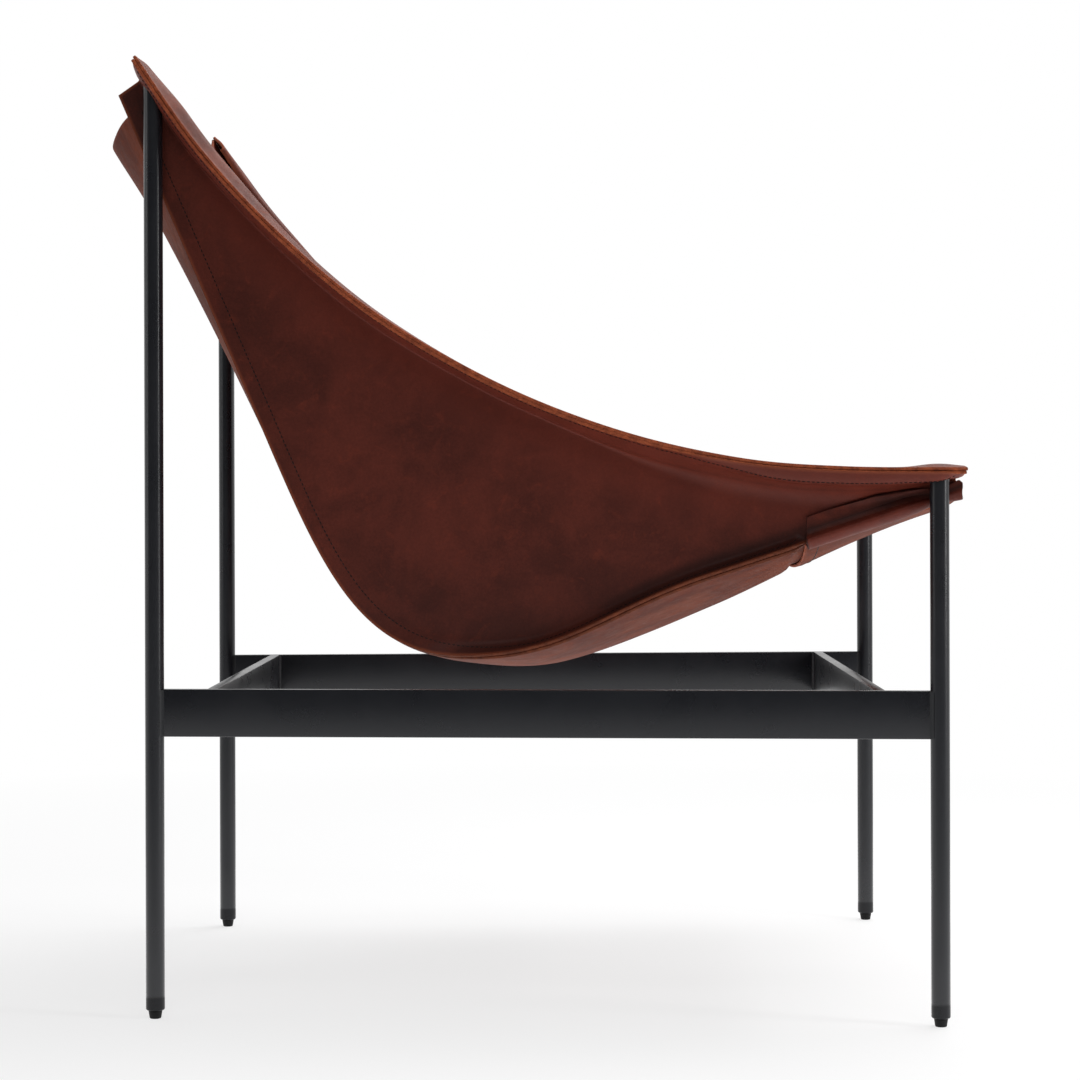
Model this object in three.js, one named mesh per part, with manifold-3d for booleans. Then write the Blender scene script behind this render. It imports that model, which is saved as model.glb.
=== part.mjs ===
// Leather sling lounge chair: a welded steel frame whose four posts carry a sewn leather sling.
// Millimetres. +X is the front of the seat, +Y the sitter's left, +Z up, and the floor is z = 0.
import * as THREE from 'three';
import { mergeVertices } from 'three/addons/utils/BufferGeometryUtils.js';
import Module from 'manifold-3d';

const wasm = await Module();
wasm.setup();

// Frame
const wheelbase = 740;
const rearSpan = 558;
const frontSpan = 647;
const postDiameter = 18;
const postWall = 2;
const postChamfer = 1.5;
const rearPostTop = 876;
const frontPostTop = 513.8;
const railTop = 313;
const railHeight = 45;
const railThickness = 10;
const crossRailInset = 55;
const weldGap = 0.3;
const roundSegments = 32;
const smallSegments = 24;

// Feet and post ends
const glideHeight = 7.6;
const glideTopDiameter = 13.2;
const glideBottomDiameter = 11;
const glideStemDiameter = 8;
const glideStemLength = 18;
const insertLength = 22;
const threadClearance = 0.3;
const fitClearance = 0.15;
const seatGap = 0.3;
const capDome = 5;
const capDomeSteps = 5;
const capRim = 1.5;
const capPlugLength = 14;

// Leather and how its layers lie together
const leather = 3.2;
const layerGap = 0.5;
const layerStep = leather + layerGap;
const postHoleClearance = 0.6;
const postHoleDepth = 72;
const panelPostClearance = 0.8;

// Lip: the top edge of each side, which turns outward over the posts
const lipMargin = 7;
const lipFrontShare = 0.9;
const lipRearOverhang = 14.5;
const lipRearTip = 16.5;
const lipFrontOverhang = 24;
const frontCapRoom = 4.2;
const rearCapRoom = 17.5;
const lipRearSetback = 16;
const lipFrontSetback = 8;
const facingRearSetback = 23;
const panelTopStraight = 12;
const creaseBend = 5;
const facingDrop = 25;
const facingDropShare = 0.35;
const facingClearance = 0.9;
const facingSlack = 0.7;
const facingCrease = 9;
const facingFrontCrease = 5;
const facingRearLift = 8.1;
const facingLiftStart = 0.08;
const facingLiftEnd = 0.2;
const facingArchShare = 0.92;
const facingArchSteps = 5;
const rearCrowns = { right: 8, left: 3.2 };
const rearCrownAhead = 20;
const rearCrownTaper = 34;
const rearCrownLength = 330;
const frontCrown = 5.2;
const frontCrownLength = 30;
// Where the lip hangs between the posts: shares of the wheelbase and of its fall
const lipHang = [
  [0.064, 0.809], [0.166, 0.593], [0.29, 0.39], [0.446, 0.213],
  [0.6, 0.094], [0.749, 0.026], [0.88, 0.004],
];
// Depth below the lip of the crease that its flange turns at, and of the rounded ridge along the flange:
// shares of the wheelbase and depths
const lipCrease = [
  [-0.02, 5.5], [0.095, 5], [0.38, 5], [0.5, 6.5], [0.56, 9], [0.63, 14], [0.735, 20],
  [0.836, 25], [0.905, 24], [0.946, 19], [0.977, 13], [1.003, 8], [1.032, 4.5],
];
const lipRidge = [
  [-0.02, 1.2], [-0.005, 3.9], [0.09, 3.4], [0.176, 0], [0.62, 0], [0.735, 6], [0.797, 11],
  [0.836, 12], [0.905, 11.5], [0.977, 8.7], [1.013, 8.2], [1.032, 0],
];
const ridgePlace = 0.8;
const ridgeStart = 0.45;
const ridgeStartShare = 0.15;

// Seam between the side panels and the centre panel
const seamCornerBack = 35.6;
const seamCornerRise = 4;
const seamBackAngle = THREE.MathUtils.degToRad(66.7);
const seamBackLength = 323;
const seamBackHandle = 147;
const seamLowBack = 80;
const seamLowClearance = 31;
const seamLowHandleBack = 103;
const seamLowHandleFront = 102;
const seamSeatAngle = THREE.MathUtils.degToRad(18.1);
const seamSeatLength = 249;
const seamSeatHandle = 104;
const seamFrontAhead = 22;
const seamFrontDrop = 16;
const seamMargin = 16;
const seamFrontMargin = 4;
const seamBend = 8;
const seamBendShare = 0.6;
// The margin turns outward over this length each way from the lowest point, and is flat again by the hem
const seamTurn = THREE.MathUtils.degToRad(70);
const seamTurnLength = 92;
const seamFlatLength = 80;
const seamFlatBeforeHem = 12;

// Sag of the centre panel below the line between its two seams
const backSag = 60;
const backSagFade = 2.4;
const backFlare = 4.5;
const backFlareLength = 55;
const lowSag = 30;
const seatSag = 46;
const seatSagPlace = 0.6;
const frontSag = 14.5;
const centreTopDrop = 21;
const centreTopArch = 9.5;
const centreTopCorner = 8;
const centreTopRise = 6;
const centreTopRiseStart = 0.4;
const centreArchFade = 60;
// Where the columns of the centre panel lie: shares of the way from a seam to the middle
const acrossShares = [0.15, 0.36, 0.58, 0.8];

// Front hem and corner patches
const hemDepth = 152;
const hemSlack = 0.5;
const hemRoll = 8;
const hemRollSteps = 6;
const hemUnderShares = [0, 0.35, 0.7];
const hemReturn = 22;
const hemEndMargin = 12;
const patchRearShare = 0.46;
const patchFrontShare = 0.95;
const patchReturn = 9;
const patchSteps = 7;

// Rows along the sling, closer together where the posts meet the lip:
// the share of its length at which each stretch ends, and the rows in it
const rowStretches = [[0.072, 4], [0.84, 18], [0.93, 4], [1, 5]];
const rowClearance = 6;

const postRadius = postDiameter / 2;
const postBottom = glideHeight + seatGap;
const lipReach = postRadius + lipMargin;
const facingLift = layerStep + facingSlack;
const hemLayer = layerStep + hemSlack;
const panelOut = -(postRadius + panelPostClearance + leather + layerStep / 2 + layerGap);
const sides = { right: -1, left: 1 };

const steel = () => new THREE.MeshStandardMaterial({ color: 0x26272a, roughness: 0.45, metalness: 0.6 });
const hide = () => new THREE.MeshStandardMaterial({ color: 0x4a211b, roughness: 0.55, metalness: 0 });
const plastic = () => new THREE.MeshStandardMaterial({ color: 0x141415, roughness: 0.6, metalness: 0 });

const chair = new THREE.Group();

function add(name, geometry, material) {
  const mesh = new THREE.Mesh(geometry, material);
  mesh.name = name;
  chair.add(mesh);
  return mesh;
}

// Half the distance between the post axes of the two sides at a place along the chair
function halfSpan(x) {
  const share = (x + wheelbase / 2) / wheelbase;
  return (rearSpan + (frontSpan - rearSpan) * share) / 2;
}

// Side coordinates are along the chair, outward from the post axes, and up
function place(side, point) {
  return new THREE.Vector3(point.x, side * (halfSpan(point.x) + point.y), point.z);
}

function smooth(from, to, value) {
  return THREE.MathUtils.smoothstep(value, from, to);
}

// A value at a place along the chair, from pairs of a share of the wheelbase and the value there
function alongAt(pairs, x) {
  const share = x / wheelbase + 0.5;
  const next = pairs.findIndex(([end]) => end > share);
  if (next < 1) {
    return pairs[next === 0 ? 0 : pairs.length - 1][1];
  }
  const [start, first] = pairs[next - 1];
  const [end, last] = pairs[next];
  return THREE.MathUtils.mapLinear(share, start, end, first, last);
}

// Closed solids from sheets and rings

function signedVolume(positions, indices) {
  let volume = 0;
  for (let i = 0; i < indices.length; i += 3) {
    const [a, b, c] = [0, 1, 2].map((k) => positions[indices[i + k]]);
    volume += a.dot(new THREE.Vector3().crossVectors(b, c)) / 6;
  }
  return volume;
}

function closedGeometry(positions, indices) {
  if (signedVolume(positions, indices) < 0) {
    for (let i = 0; i < indices.length; i += 3) {
      [indices[i], indices[i + 1]] = [indices[i + 1], indices[i]];
    }
  }
  const geometry = new THREE.BufferGeometry();
  const values = positions.flatMap((p) => [p.x, p.y, p.z]);
  geometry.setAttribute('position', new THREE.Float32BufferAttribute(values, 3));
  geometry.setIndex(indices);
  return geometry;
}

// A leather sheet: rows of points on its middle surface, given half its thickness each way.
// The quads of a sheet that spans the chair split the same way on its two sides.
function sheet(rows, spansChair = false) {
  const rowCount = rows.length;
  const columnCount = rows[0].length;
  const inside = (index, count) => THREE.MathUtils.clamp(index, 0, count - 1);
  const at = (i, j) => rows[inside(i, rowCount)][inside(j, columnCount)];
  const faces = [[], []];
  for (let i = 0; i < rowCount; i += 1) {
    for (let j = 0; j < columnCount; j += 1) {
      const along = new THREE.Vector3().subVectors(at(i + 1, j), at(i - 1, j));
      const across = new THREE.Vector3().subVectors(at(i, j + 1), at(i, j - 1));
      const normal = along.cross(across).normalize();
      faces[0].push(at(i, j).clone().addScaledVector(normal, leather / 2));
      faces[1].push(at(i, j).clone().addScaledVector(normal, -leather / 2));
    }
  }
  const count = rowCount * columnCount;
  const index = (face, i, j) => face * count + i * columnCount + j;
  const indices = [];
  const quad = (a, b, c, d) => indices.push(a, b, c, a, c, d);
  const split = (a, b, c, d, turned) => (turned ? quad(b, c, d, a) : quad(a, b, c, d));
  for (let i = 0; i + 1 < rowCount; i += 1) {
    for (let j = 0; j + 1 < columnCount; j += 1) {
      const far = spansChair && 2 * j + 1 > columnCount - 1;
      split(index(0, i, j), index(0, i + 1, j), index(0, i + 1, j + 1), index(0, i, j + 1), far);
      split(index(1, i, j), index(1, i, j + 1), index(1, i + 1, j + 1), index(1, i + 1, j), far);
    }
    quad(index(0, i + 1, 0), index(0, i, 0), index(1, i, 0), index(1, i + 1, 0));
    const last = columnCount - 1;
    quad(index(0, i, last), index(0, i + 1, last), index(1, i + 1, last), index(1, i, last));
  }
  for (let j = 0; j + 1 < columnCount; j += 1) {
    quad(index(0, 0, j), index(0, 0, j + 1), index(1, 0, j + 1), index(1, 0, j));
    const last = rowCount - 1;
    quad(index(0, last, j + 1), index(0, last, j), index(1, last, j), index(1, last, j + 1));
  }
  return closedGeometry([...faces[0], ...faces[1]], indices);
}

function toSolid(geometry) {
  const bare = geometry.clone();
  bare.deleteAttribute('normal');
  bare.deleteAttribute('uv');
  const merged = mergeVertices(bare, 1e-4);
  return new wasm.Manifold(new wasm.Mesh({
    numProp: 3,
    vertProperties: new Float32Array(merged.attributes.position.array),
    triVerts: new Uint32Array(merged.index.array),
  }));
}

function toGeometry(solid) {
  const mesh = solid.getMesh();
  const geometry = new THREE.BufferGeometry();
  geometry.setAttribute('position', new THREE.BufferAttribute(new Float32Array(mesh.vertProperties), 3));
  geometry.setIndex(Array.from(mesh.triVerts));
  return geometry;
}

// A turned piece standing on +Z, from radius and height pairs
function turned(profile, segments = roundSegments) {
  const points = profile.map(([radius, height]) => new THREE.Vector2(radius, height));
  return new THREE.LatheGeometry(points, segments).rotateX(Math.PI / 2);
}

// Cuts the tip of a turned piece on a slope that falls toward the front
function sloped(geometry, from, slope) {
  const { position } = geometry.attributes;
  for (let i = 0; i < position.count; i += 1) {
    const height = position.getZ(i);
    if (height > from) {
      position.setZ(i, height - slope * position.getX(i));
    }
  }
  return geometry;
}

// A flat bar on edge: its outline from above, raised to the rail height
function bar(outline) {
  const shape = new THREE.Shape(outline.map(([x, y]) => new THREE.Vector2(x, y)));
  const geometry = new THREE.ExtrudeGeometry(shape, { depth: railHeight, bevelEnabled: false });
  return geometry.translate(0, 0, railTop - railHeight);
}

// Steel frame

// The tip of a rear post is cut on the slope of the lip that lies over it
function postTube(top, slope) {
  const inner = postRadius - postWall;
  const tube = turned([
    [inner, postBottom],
    [postRadius - postChamfer, postBottom],
    [postRadius, postBottom + postChamfer],
    [postRadius, top],
    [inner, top],
    [inner, postBottom],
  ]);
  return sloped(tube, top / 2, slope);
}

function postCap(slope) {
  const plug = postRadius - postWall - fitClearance;
  const rimTop = seatGap + capRim;
  const dome = new THREE.EllipseCurve(0, rimTop, postRadius, capDome - rimTop, 0, Math.PI / 2);
  const cap = turned([
    [0, -capPlugLength],
    [plug, -capPlugLength],
    [plug, seatGap],
    [postRadius, seatGap],
    ...dome.getPoints(capDomeSteps).map((p) => [Math.max(p.x, 0), p.y]),
  ]);
  return sloped(cap, 0, slope);
}

function threadedInsert() {
  const outer = postRadius - postWall - fitClearance;
  const bore = glideStemDiameter / 2 + threadClearance;
  const profile = [[bore, 0], [outer, 0], [outer, insertLength], [bore, insertLength], [bore, 0]];
  return turned(profile, smallSegments);
}

function glide() {
  return turned([
    [0, 0],
    [glideBottomDiameter / 2, 0],
    [glideTopDiameter / 2, glideHeight],
    [glideStemDiameter / 2, glideHeight],
    [glideStemDiameter / 2, glideHeight + glideStemLength],
    [0, glideHeight + glideStemLength],
  ], smallSegments);
}

function sideRail(side) {
  const half = railThickness / 2;
  const rear = new THREE.Vector2(-wheelbase / 2, rearSpan / 2);
  const front = new THREE.Vector2(wheelbase / 2, frontSpan / 2);
  const along = new THREE.Vector2().subVectors(front, rear).normalize();
  const outward = new THREE.Vector2(-along.y, along.x);
  const corner = (post, step, out) => {
    const point = post.clone().addScaledVector(along, step).addScaledVector(outward, out);
    return [point.x, side * point.y];
  };
  const end = postRadius + weldGap;
  return bar([
    corner(rear, end, -half),
    corner(front, -end, -half),
    corner(front, -end, half),
    corner(rear, end, half),
  ]);
}

function crossRail(x) {
  const half = railThickness / 2;
  const splay = Math.atan2((frontSpan - rearSpan) / 2, wheelbase);
  const reach = (at) => halfSpan(at) - (half + weldGap) / Math.cos(splay);
  return bar([
    [x - half, -reach(x - half)],
    [x + half, -reach(x + half)],
    [x + half, reach(x + half)],
    [x - half, reach(x - half)],
  ]);
}

// Lines of the sling in the plane of a side: x along the chair and y up

// The lip's edge lies where its facing leaves room for the caps of the posts.
// It falls steeply at the rear, and the room there is taken straight up from the tip of the post.
const [firstHang] = lipHang;
const rearDrop = lipRearTip + (1 - firstHang[1]) * (rearPostTop - frontPostTop);
const rearSlope = rearDrop / (lipRearOverhang + firstHang[0] * wheelbase);
const rearLip = rearPostTop + rearCapRoom + rearSlope * lipRearOverhang - lipRearTip;
const frontLip = frontPostTop + capDome + leather + frontCapRoom - frontCrown;
const lipLine = new THREE.SplineCurve([
  new THREE.Vector2(-wheelbase / 2 - lipRearOverhang, rearLip + lipRearTip),
  ...lipHang.map(([along, fall]) => new THREE.Vector2(
    (along - 0.5) * wheelbase,
    frontLip + fall * (rearLip - frontLip),
  )),
  new THREE.Vector2(wheelbase / 2 + lipFrontOverhang, frontLip),
]);

function buildSeamLine() {
  const corner = new THREE.Vector2(-wheelbase / 2 - seamCornerBack, rearPostTop + seamCornerRise);
  const front = new THREE.Vector2(wheelbase / 2 + seamFrontAhead, frontPostTop - seamFrontDrop);
  const low = new THREE.Vector2(-seamLowBack, railTop + seamLowClearance);
  const down = new THREE.Vector2(Math.cos(seamBackAngle), -Math.sin(seamBackAngle));
  const back = new THREE.Vector2(-Math.cos(seamSeatAngle), -Math.sin(seamSeatAngle));
  const backEnd = corner.clone().addScaledVector(down, seamBackLength);
  const seatEnd = front.clone().addScaledVector(back, seamSeatLength);
  const path = new THREE.CurvePath();
  path.add(new THREE.LineCurve(corner, backEnd));
  path.add(new THREE.CubicBezierCurve(
    backEnd,
    backEnd.clone().addScaledVector(down, seamBackHandle),
    new THREE.Vector2(low.x - seamLowHandleBack, low.y),
    low,
  ));
  path.add(new THREE.CubicBezierCurve(
    low,
    new THREE.Vector2(low.x + seamLowHandleFront, low.y),
    seatEnd.clone().addScaledVector(back, seamSeatHandle),
    seatEnd,
  ));
  path.add(new THREE.LineCurve(seatEnd, front));
  return path;
}

const seamLine = buildSeamLine();
const seamLength = seamLine.getLength();
const lipLength = lipLine.getLength();
const outward = new THREE.Vector3(0, 1, 0);

// A point of a side line with its tangent and its upward normal, in side coordinates
function lineFrame(point, tangent) {
  return {
    point: new THREE.Vector3(point.x, 0, point.y),
    tangent: new THREE.Vector3(tangent.x, 0, tangent.y),
    normal: new THREE.Vector3(-tangent.y, 0, tangent.x),
  };
}

const seamFrame = (u) => lineFrame(seamLine.getPoint(u), seamLine.getTangent(u));
const lipFrame = (u) => lineFrame(lipLine.getPointAt(u), lipLine.getTangentAt(u));

// Shares of the seam's length where its form changes
const hemStart = 1 - hemDepth / seamLength;
const centreStart = centreTopDrop / seamLength;
const centreEnd = 1 - hemRoll / seamLength;
const lowShare = (seamLine.curves[0].getLength() + seamLine.curves[1].getLength()) / seamLength;
const seatShare = THREE.MathUtils.lerp(lowShare, hemStart, seatSagPlace);
const turnStart = lowShare - seamTurnLength / seamLength;
const turnEnd = lowShare + seamTurnLength / seamLength;
const flatEnd = hemStart - seamFlatBeforeHem / seamLength;
const flatStart = flatEnd - seamFlatLength / seamLength;

// Margin of the seam: its width, and how far it has turned outward
const flatAt = (u) => smooth(flatStart, flatEnd, u);
const marginAt = (u) => THREE.MathUtils.lerp(seamMargin, seamFrontMargin, flatAt(u));
const turnAt = (u) => seamTurn * smooth(turnStart, turnEnd, u) * (1 - flatAt(u));

function sagAt(u) {
  if (u < lowShare) {
    const flare = backFlare * Math.exp(-((u * seamLength / backFlareLength) ** 2));
    return lowSag + (backSag - lowSag) * (1 - u / lowShare) ** backSagFade + flare;
  }
  const seat = lowSag + (seatSag - lowSag) * smooth(lowShare, seatShare, u);
  return seat + (frontSag - seatSag) * smooth(seatShare, 1, u);
}

// Seam at a share of its length: root and margin direction of the side panel,
// and the way from it to the layer of the centre panel
function seamAt(u) {
  const { point, normal } = seamFrame(u);
  const turn = turnAt(u);
  const margin = marginAt(u);
  const cos = Math.cos(turn);
  const sin = Math.sin(turn);
  const marginWay = normal.clone().multiplyScalar(-cos).addScaledVector(outward, sin);
  const layerWay = normal.clone().multiplyScalar(-sin).addScaledVector(outward, -cos);
  const raw = point.clone().addScaledVector(outward, panelOut + margin * sin);
  const root = raw.clone().addScaledVector(marginWay, -margin);
  const bend = Math.min(seamBend, seamBendShare * margin);
  return { raw, root, normal, margin, marginWay, layerWay, bend };
}

// Lip at a share of its length: outer edge of the panel's flange, the creases that the flange and
// the facing turn at, and how far the flange dips to its ridge
function lipAt(u) {
  const edge = lipFrame(u);
  const front = 1 - lipFrontSetback / lipLength;
  const crease = lipFrame(THREE.MathUtils.lerp(lipRearSetback / lipLength, front, u));
  const facingFold = lipFrame(THREE.MathUtils.lerp(facingRearSetback / lipLength, front, u));
  const depth = alongAt(lipCrease, edge.point.x);
  const facingDepth = THREE.MathUtils.lerp(facingCrease, facingFrontCrease, smooth(lipFrontShare, 1, u));
  const below = layerStep + leather / 2;
  const top = edge.point.clone().addScaledVector(outward, lipReach);
  const fold = (line, down) => line.point.clone()
    .addScaledVector(line.normal, -below - down)
    .addScaledVector(outward, panelOut);
  return {
    normal: edge.normal,
    top,
    edge: top.clone().addScaledVector(edge.normal, -below),
    crease: fold(crease, depth),
    facingCrease: fold(facingFold, Math.min(depth, facingDepth)),
    dip: Math.max(0, alongAt(lipRidge, edge.point.x) - (1 - ridgePlace) * depth),
  };
}

function bent(from, corner, to, steps) {
  return new THREE.QuadraticBezierCurve3(from, corner, to).getPoints(steps);
}

function toward(from, to, distance) {
  const way = new THREE.Vector3().subVectors(to, from).normalize();
  return from.clone().addScaledVector(way, distance);
}

function halfway(from, to) {
  return from.clone().lerp(to, 0.5);
}

function rowShares() {
  const shares = [0];
  for (const [end, count] of rowStretches) {
    const start = shares[shares.length - 1];
    for (let i = 1; i <= count; i += 1) {
      shares.push(THREE.MathUtils.lerp(start, end, i / count));
    }
  }
  return shares;
}

// Leather pieces

// The panel's top edge at the rear is cut straight from the seam to the crease
function sidePanelRow(side, u) {
  const seam = seamAt(u);
  const lip = lipAt(u);
  const { raw, bend } = seam;
  const { crease, edge } = lip;
  const straight = Math.exp(-((u * seamLength / panelTopStraight) ** 2));
  const root = seam.root.clone().lerp(toward(raw, crease, seam.margin), straight);
  const points = [
    raw,
    ...bent(toward(root, raw, bend), root, toward(root, crease, bend), 3),
    halfway(root, crease),
    ...bent(toward(crease, root, creaseBend), crease, toward(crease, edge, creaseBend), 3),
    crease.clone().lerp(edge, ridgeStart).addScaledVector(lip.normal, -ridgeStartShare * lip.dip),
    crease.clone().lerp(edge, ridgePlace).addScaledVector(lip.normal, -lip.dip),
    edge,
  ];
  return points.map((point) => place(side, point));
}

function sidePanel(side) {
  const panel = toSolid(sheet(rowShares().map((u) => sidePanelRow(side, u))));
  const holeRadius = postRadius + postHoleClearance;
  const holes = [[-wheelbase / 2, rearPostTop], [wheelbase / 2, frontPostTop]].map(([x, top]) => {
    const half = postHoleDepth;
    const profile = [[0, -half], [holeRadius, -half], [holeRadius, half], [0, half]];
    return toSolid(turned(profile, smallSegments).translate(x, side * halfSpan(x), top));
  });
  return toGeometry(panel.subtract(holes[0]).subtract(holes[1]));
}

// How far the facing stands up over the post tips: it leaves the flange flat at the rear, and arches at
// the front
function crownAt(x, rearCrown, share) {
  const ahead = x + wheelbase / 2 - rearCrownAhead;
  const fading = Math.max(0, 1 - ahead / rearCrownLength);
  const rising = Math.exp(-((ahead / rearCrownTaper) ** 2));
  const rear = rearCrown * (ahead > 0 ? fading : rising);
  const front = frontCrown * Math.exp(-(((x - wheelbase / 2) / frontCrownLength) ** 2));
  const arch = Math.sin(Math.PI * share);
  return rear * arch ** 2 + front * arch;
}

function facingRow(side, rearCrown, u) {
  const lip = lipAt(u);
  const along = lip.top.x / wheelbase + 0.5;
  const lift = facingLift + facingRearLift * (1 - smooth(facingLiftStart, facingLiftEnd, along));
  const outer = lip.top.clone().addScaledVector(lip.normal, -leather / 2);
  const inner = lip.facingCrease.clone().addScaledVector(lip.normal, lift);
  inner.addScaledVector(outward, -layerStep - facingClearance);
  const drop = Math.min(facingDrop, facingDropShare * lip.facingCrease.distanceTo(seamAt(u).root));
  const end = inner.clone().addScaledVector(lip.normal, -drop);
  const top = [];
  for (let i = 0; i <= facingArchSteps; i += 1) {
    const share = i / facingArchSteps;
    const rise = crownAt(lip.top.x, rearCrown, share);
    top.push(outer.clone().lerp(inner, share * facingArchShare).addScaledVector(lip.normal, rise));
  }
  const points = [...top, halfway(inner, end), end];
  return points.map((point) => place(side, point));
}

function facingRows(side, rearCrown) {
  return rowShares().map((u) => facingRow(side, rearCrown, u));
}

// Middle surface of the centre panel, from its seam root (share 0) to the middle of the chair (share 1)
function centrePoint(side, u, share) {
  const seam = seamAt(u);
  const root = place(side, seam.root.clone().addScaledVector(seam.layerWay, layerStep));
  const sag = sagAt(u) * (1 - (1 - share) ** 2);
  root.y *= 1 - share;
  return root.addScaledVector(seam.normal, -sag);
}

// The top edge of the centre panel is cut as an arch, so rows near it lie higher toward the middle
function archedShare(u, share) {
  const fade = 1 - smooth(centreStart, centreStart + centreArchFade / seamLength, u);
  const arch = centreTopArch * (1 - (1 - share) ** centreTopCorner);
  const rise = centreTopRise * smooth(centreTopRiseStart, 1, share);
  return u - ((arch + rise) / seamLength) * fade;
}

function centreHalfRow(side, u) {
  const seam = seamAt(u);
  const root = seam.root.clone().addScaledVector(seam.layerWay, layerStep);
  const marginPoint = (distance) => place(side, root.clone().addScaledVector(seam.marginWay, distance));
  const first = seamBend / halfSpan(root.x);
  return [
    marginPoint(seam.margin),
    ...bent(marginPoint(seam.bend), place(side, root), centrePoint(side, u, first), 3),
    ...acrossShares.map((share) => centrePoint(side, archedShare(u, share), share)),
  ];
}

function centrePanel() {
  const apart = rowClearance / seamLength;
  const shares = rowShares().filter((u) => u > centreStart + apart && u < centreEnd - apart);
  const rows = [centreStart, ...shares, centreEnd].map((u) => [
    ...centreHalfRow(sides.right, u),
    centrePoint(sides.right, archedShare(u, 1), 1),
    ...centreHalfRow(sides.left, u).reverse(),
  ]);
  return sheet(rows, true);
}

// The front hem: a band under the seat that rolls round the front edge and back over it
function hemRow(side, share) {
  const point = (u, above) => centrePoint(side, u, share).addScaledVector(seamFrame(u).normal, above);
  const under = hemUnderShares.map((step) => {
    const u = THREE.MathUtils.lerp(hemStart, centreEnd, step);
    return point(u, -THREE.MathUtils.lerp(hemLayer, hemRoll, step));
  });
  const roll = [];
  const { tangent } = seamFrame(centreEnd);
  for (let i = 0; i <= hemRollSteps; i += 1) {
    const angle = Math.PI * (i / hemRollSteps - 0.5);
    const above = point(centreEnd, hemRoll * Math.sin(angle));
    roll.push(above.addScaledVector(tangent, hemRoll * Math.cos(angle)));
  }
  const back = centreEnd - hemReturn / seamLength;
  return [...under, ...roll, point(back, hemLayer)];
}

function frontHem() {
  const first = hemEndMargin / halfSpan(wheelbase / 2);
  const shares = [first, ...acrossShares];
  return sheet([
    ...shares.map((share) => hemRow(sides.right, share)),
    hemRow(sides.right, 1),
    ...shares.map((share) => hemRow(sides.left, share)).reverse(),
  ]);
}

// A corner patch: the end of the hem, up the outside of the side panel and folded under its seam
function patchRow(side, u) {
  const seam = seamAt(u);
  const lip = lipAt(u);
  const height = seam.root.distanceTo(lip.crease);
  const share = THREE.MathUtils.lerp(patchRearShare, patchFrontShare, smooth(hemStart, 1, u));
  const top = Math.min(share * height, height - creaseBend - leather);
  const lift = outward.clone().multiplyScalar(layerStep);
  const root = seam.root.clone().add(lift);
  const below = seam.raw.clone().addScaledVector(seam.normal, -layerGap - leather / 2);
  const corner = below.clone().add(lift);
  const end = below.clone().addScaledVector(outward, -patchReturn);
  const points = [
    toward(seam.root, lip.crease, top).add(lift),
    root,
    ...bent(toward(corner, root, leather), corner, toward(corner, end, leather), 3),
    end,
  ];
  return points.map((point) => place(side, point));
}

function cornerPatch(side) {
  const rows = [];
  for (let i = 0; i <= patchSteps; i += 1) {
    rows.push(patchRow(side, THREE.MathUtils.lerp(hemStart, centreEnd, i / patchSteps)));
  }
  return sheet(rows);
}

// Assembly

const posts = [
  { end: 'rear', x: -wheelbase / 2, top: rearPostTop, slope: rearSlope },
  { end: 'front', x: wheelbase / 2, top: frontPostTop, slope: 0 },
];

for (const [sideName, side] of Object.entries(sides)) {
  for (const { end, x, top, slope } of posts) {
    const y = side * halfSpan(x);
    add(`${end}_${sideName}_post`, postTube(top, slope), steel()).position.set(x, y, 0);
    add(`${end}_${sideName}_post_cap`, postCap(slope), plastic()).position.set(x, y, top);
    add(`${end}_${sideName}_threaded_insert`, threadedInsert(), steel()).position.set(x, y, postBottom);
    add(`${end}_${sideName}_glide`, glide(), plastic()).position.set(x, y, 0);
  }
  add(`${sideName}_side_rail`, sideRail(side), steel());
  add(`${sideName}_side_panel`, sidePanel(side), hide());
  add(`${sideName}_lip_facing`, sheet(facingRows(side, rearCrowns[sideName])), hide());
  add(`${sideName}_corner_patch`, cornerPatch(side), hide());
}
add('rear_cross_rail', crossRail(-wheelbase / 2 + crossRailInset), steel());
add('front_cross_rail', crossRail(wheelbase / 2 - crossRailInset), steel());
add('centre_panel', centrePanel(), hide());
add('front_hem', frontHem(), hide());

// The origin is the middle of the chair's outline on the floor
chair.updateMatrixWorld(true);
const middle = new THREE.Box3().setFromObject(chair).getCenter(new THREE.Vector3());
chair.position.set(-middle.x, 0, 0);

export default chair;
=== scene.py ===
"""Looks of a leather sling lounge chair: a black steel frame that carries a sewn sling of raw-edged leather.

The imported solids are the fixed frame. Lengths are millimetres until a mesh is made, and metres after that.
+X is the front of the seat, +Y the sitter's left and +Z up.
"""
import math

import bmesh
import bpy
import numpy as np
from mathutils import Matrix, Vector


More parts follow.
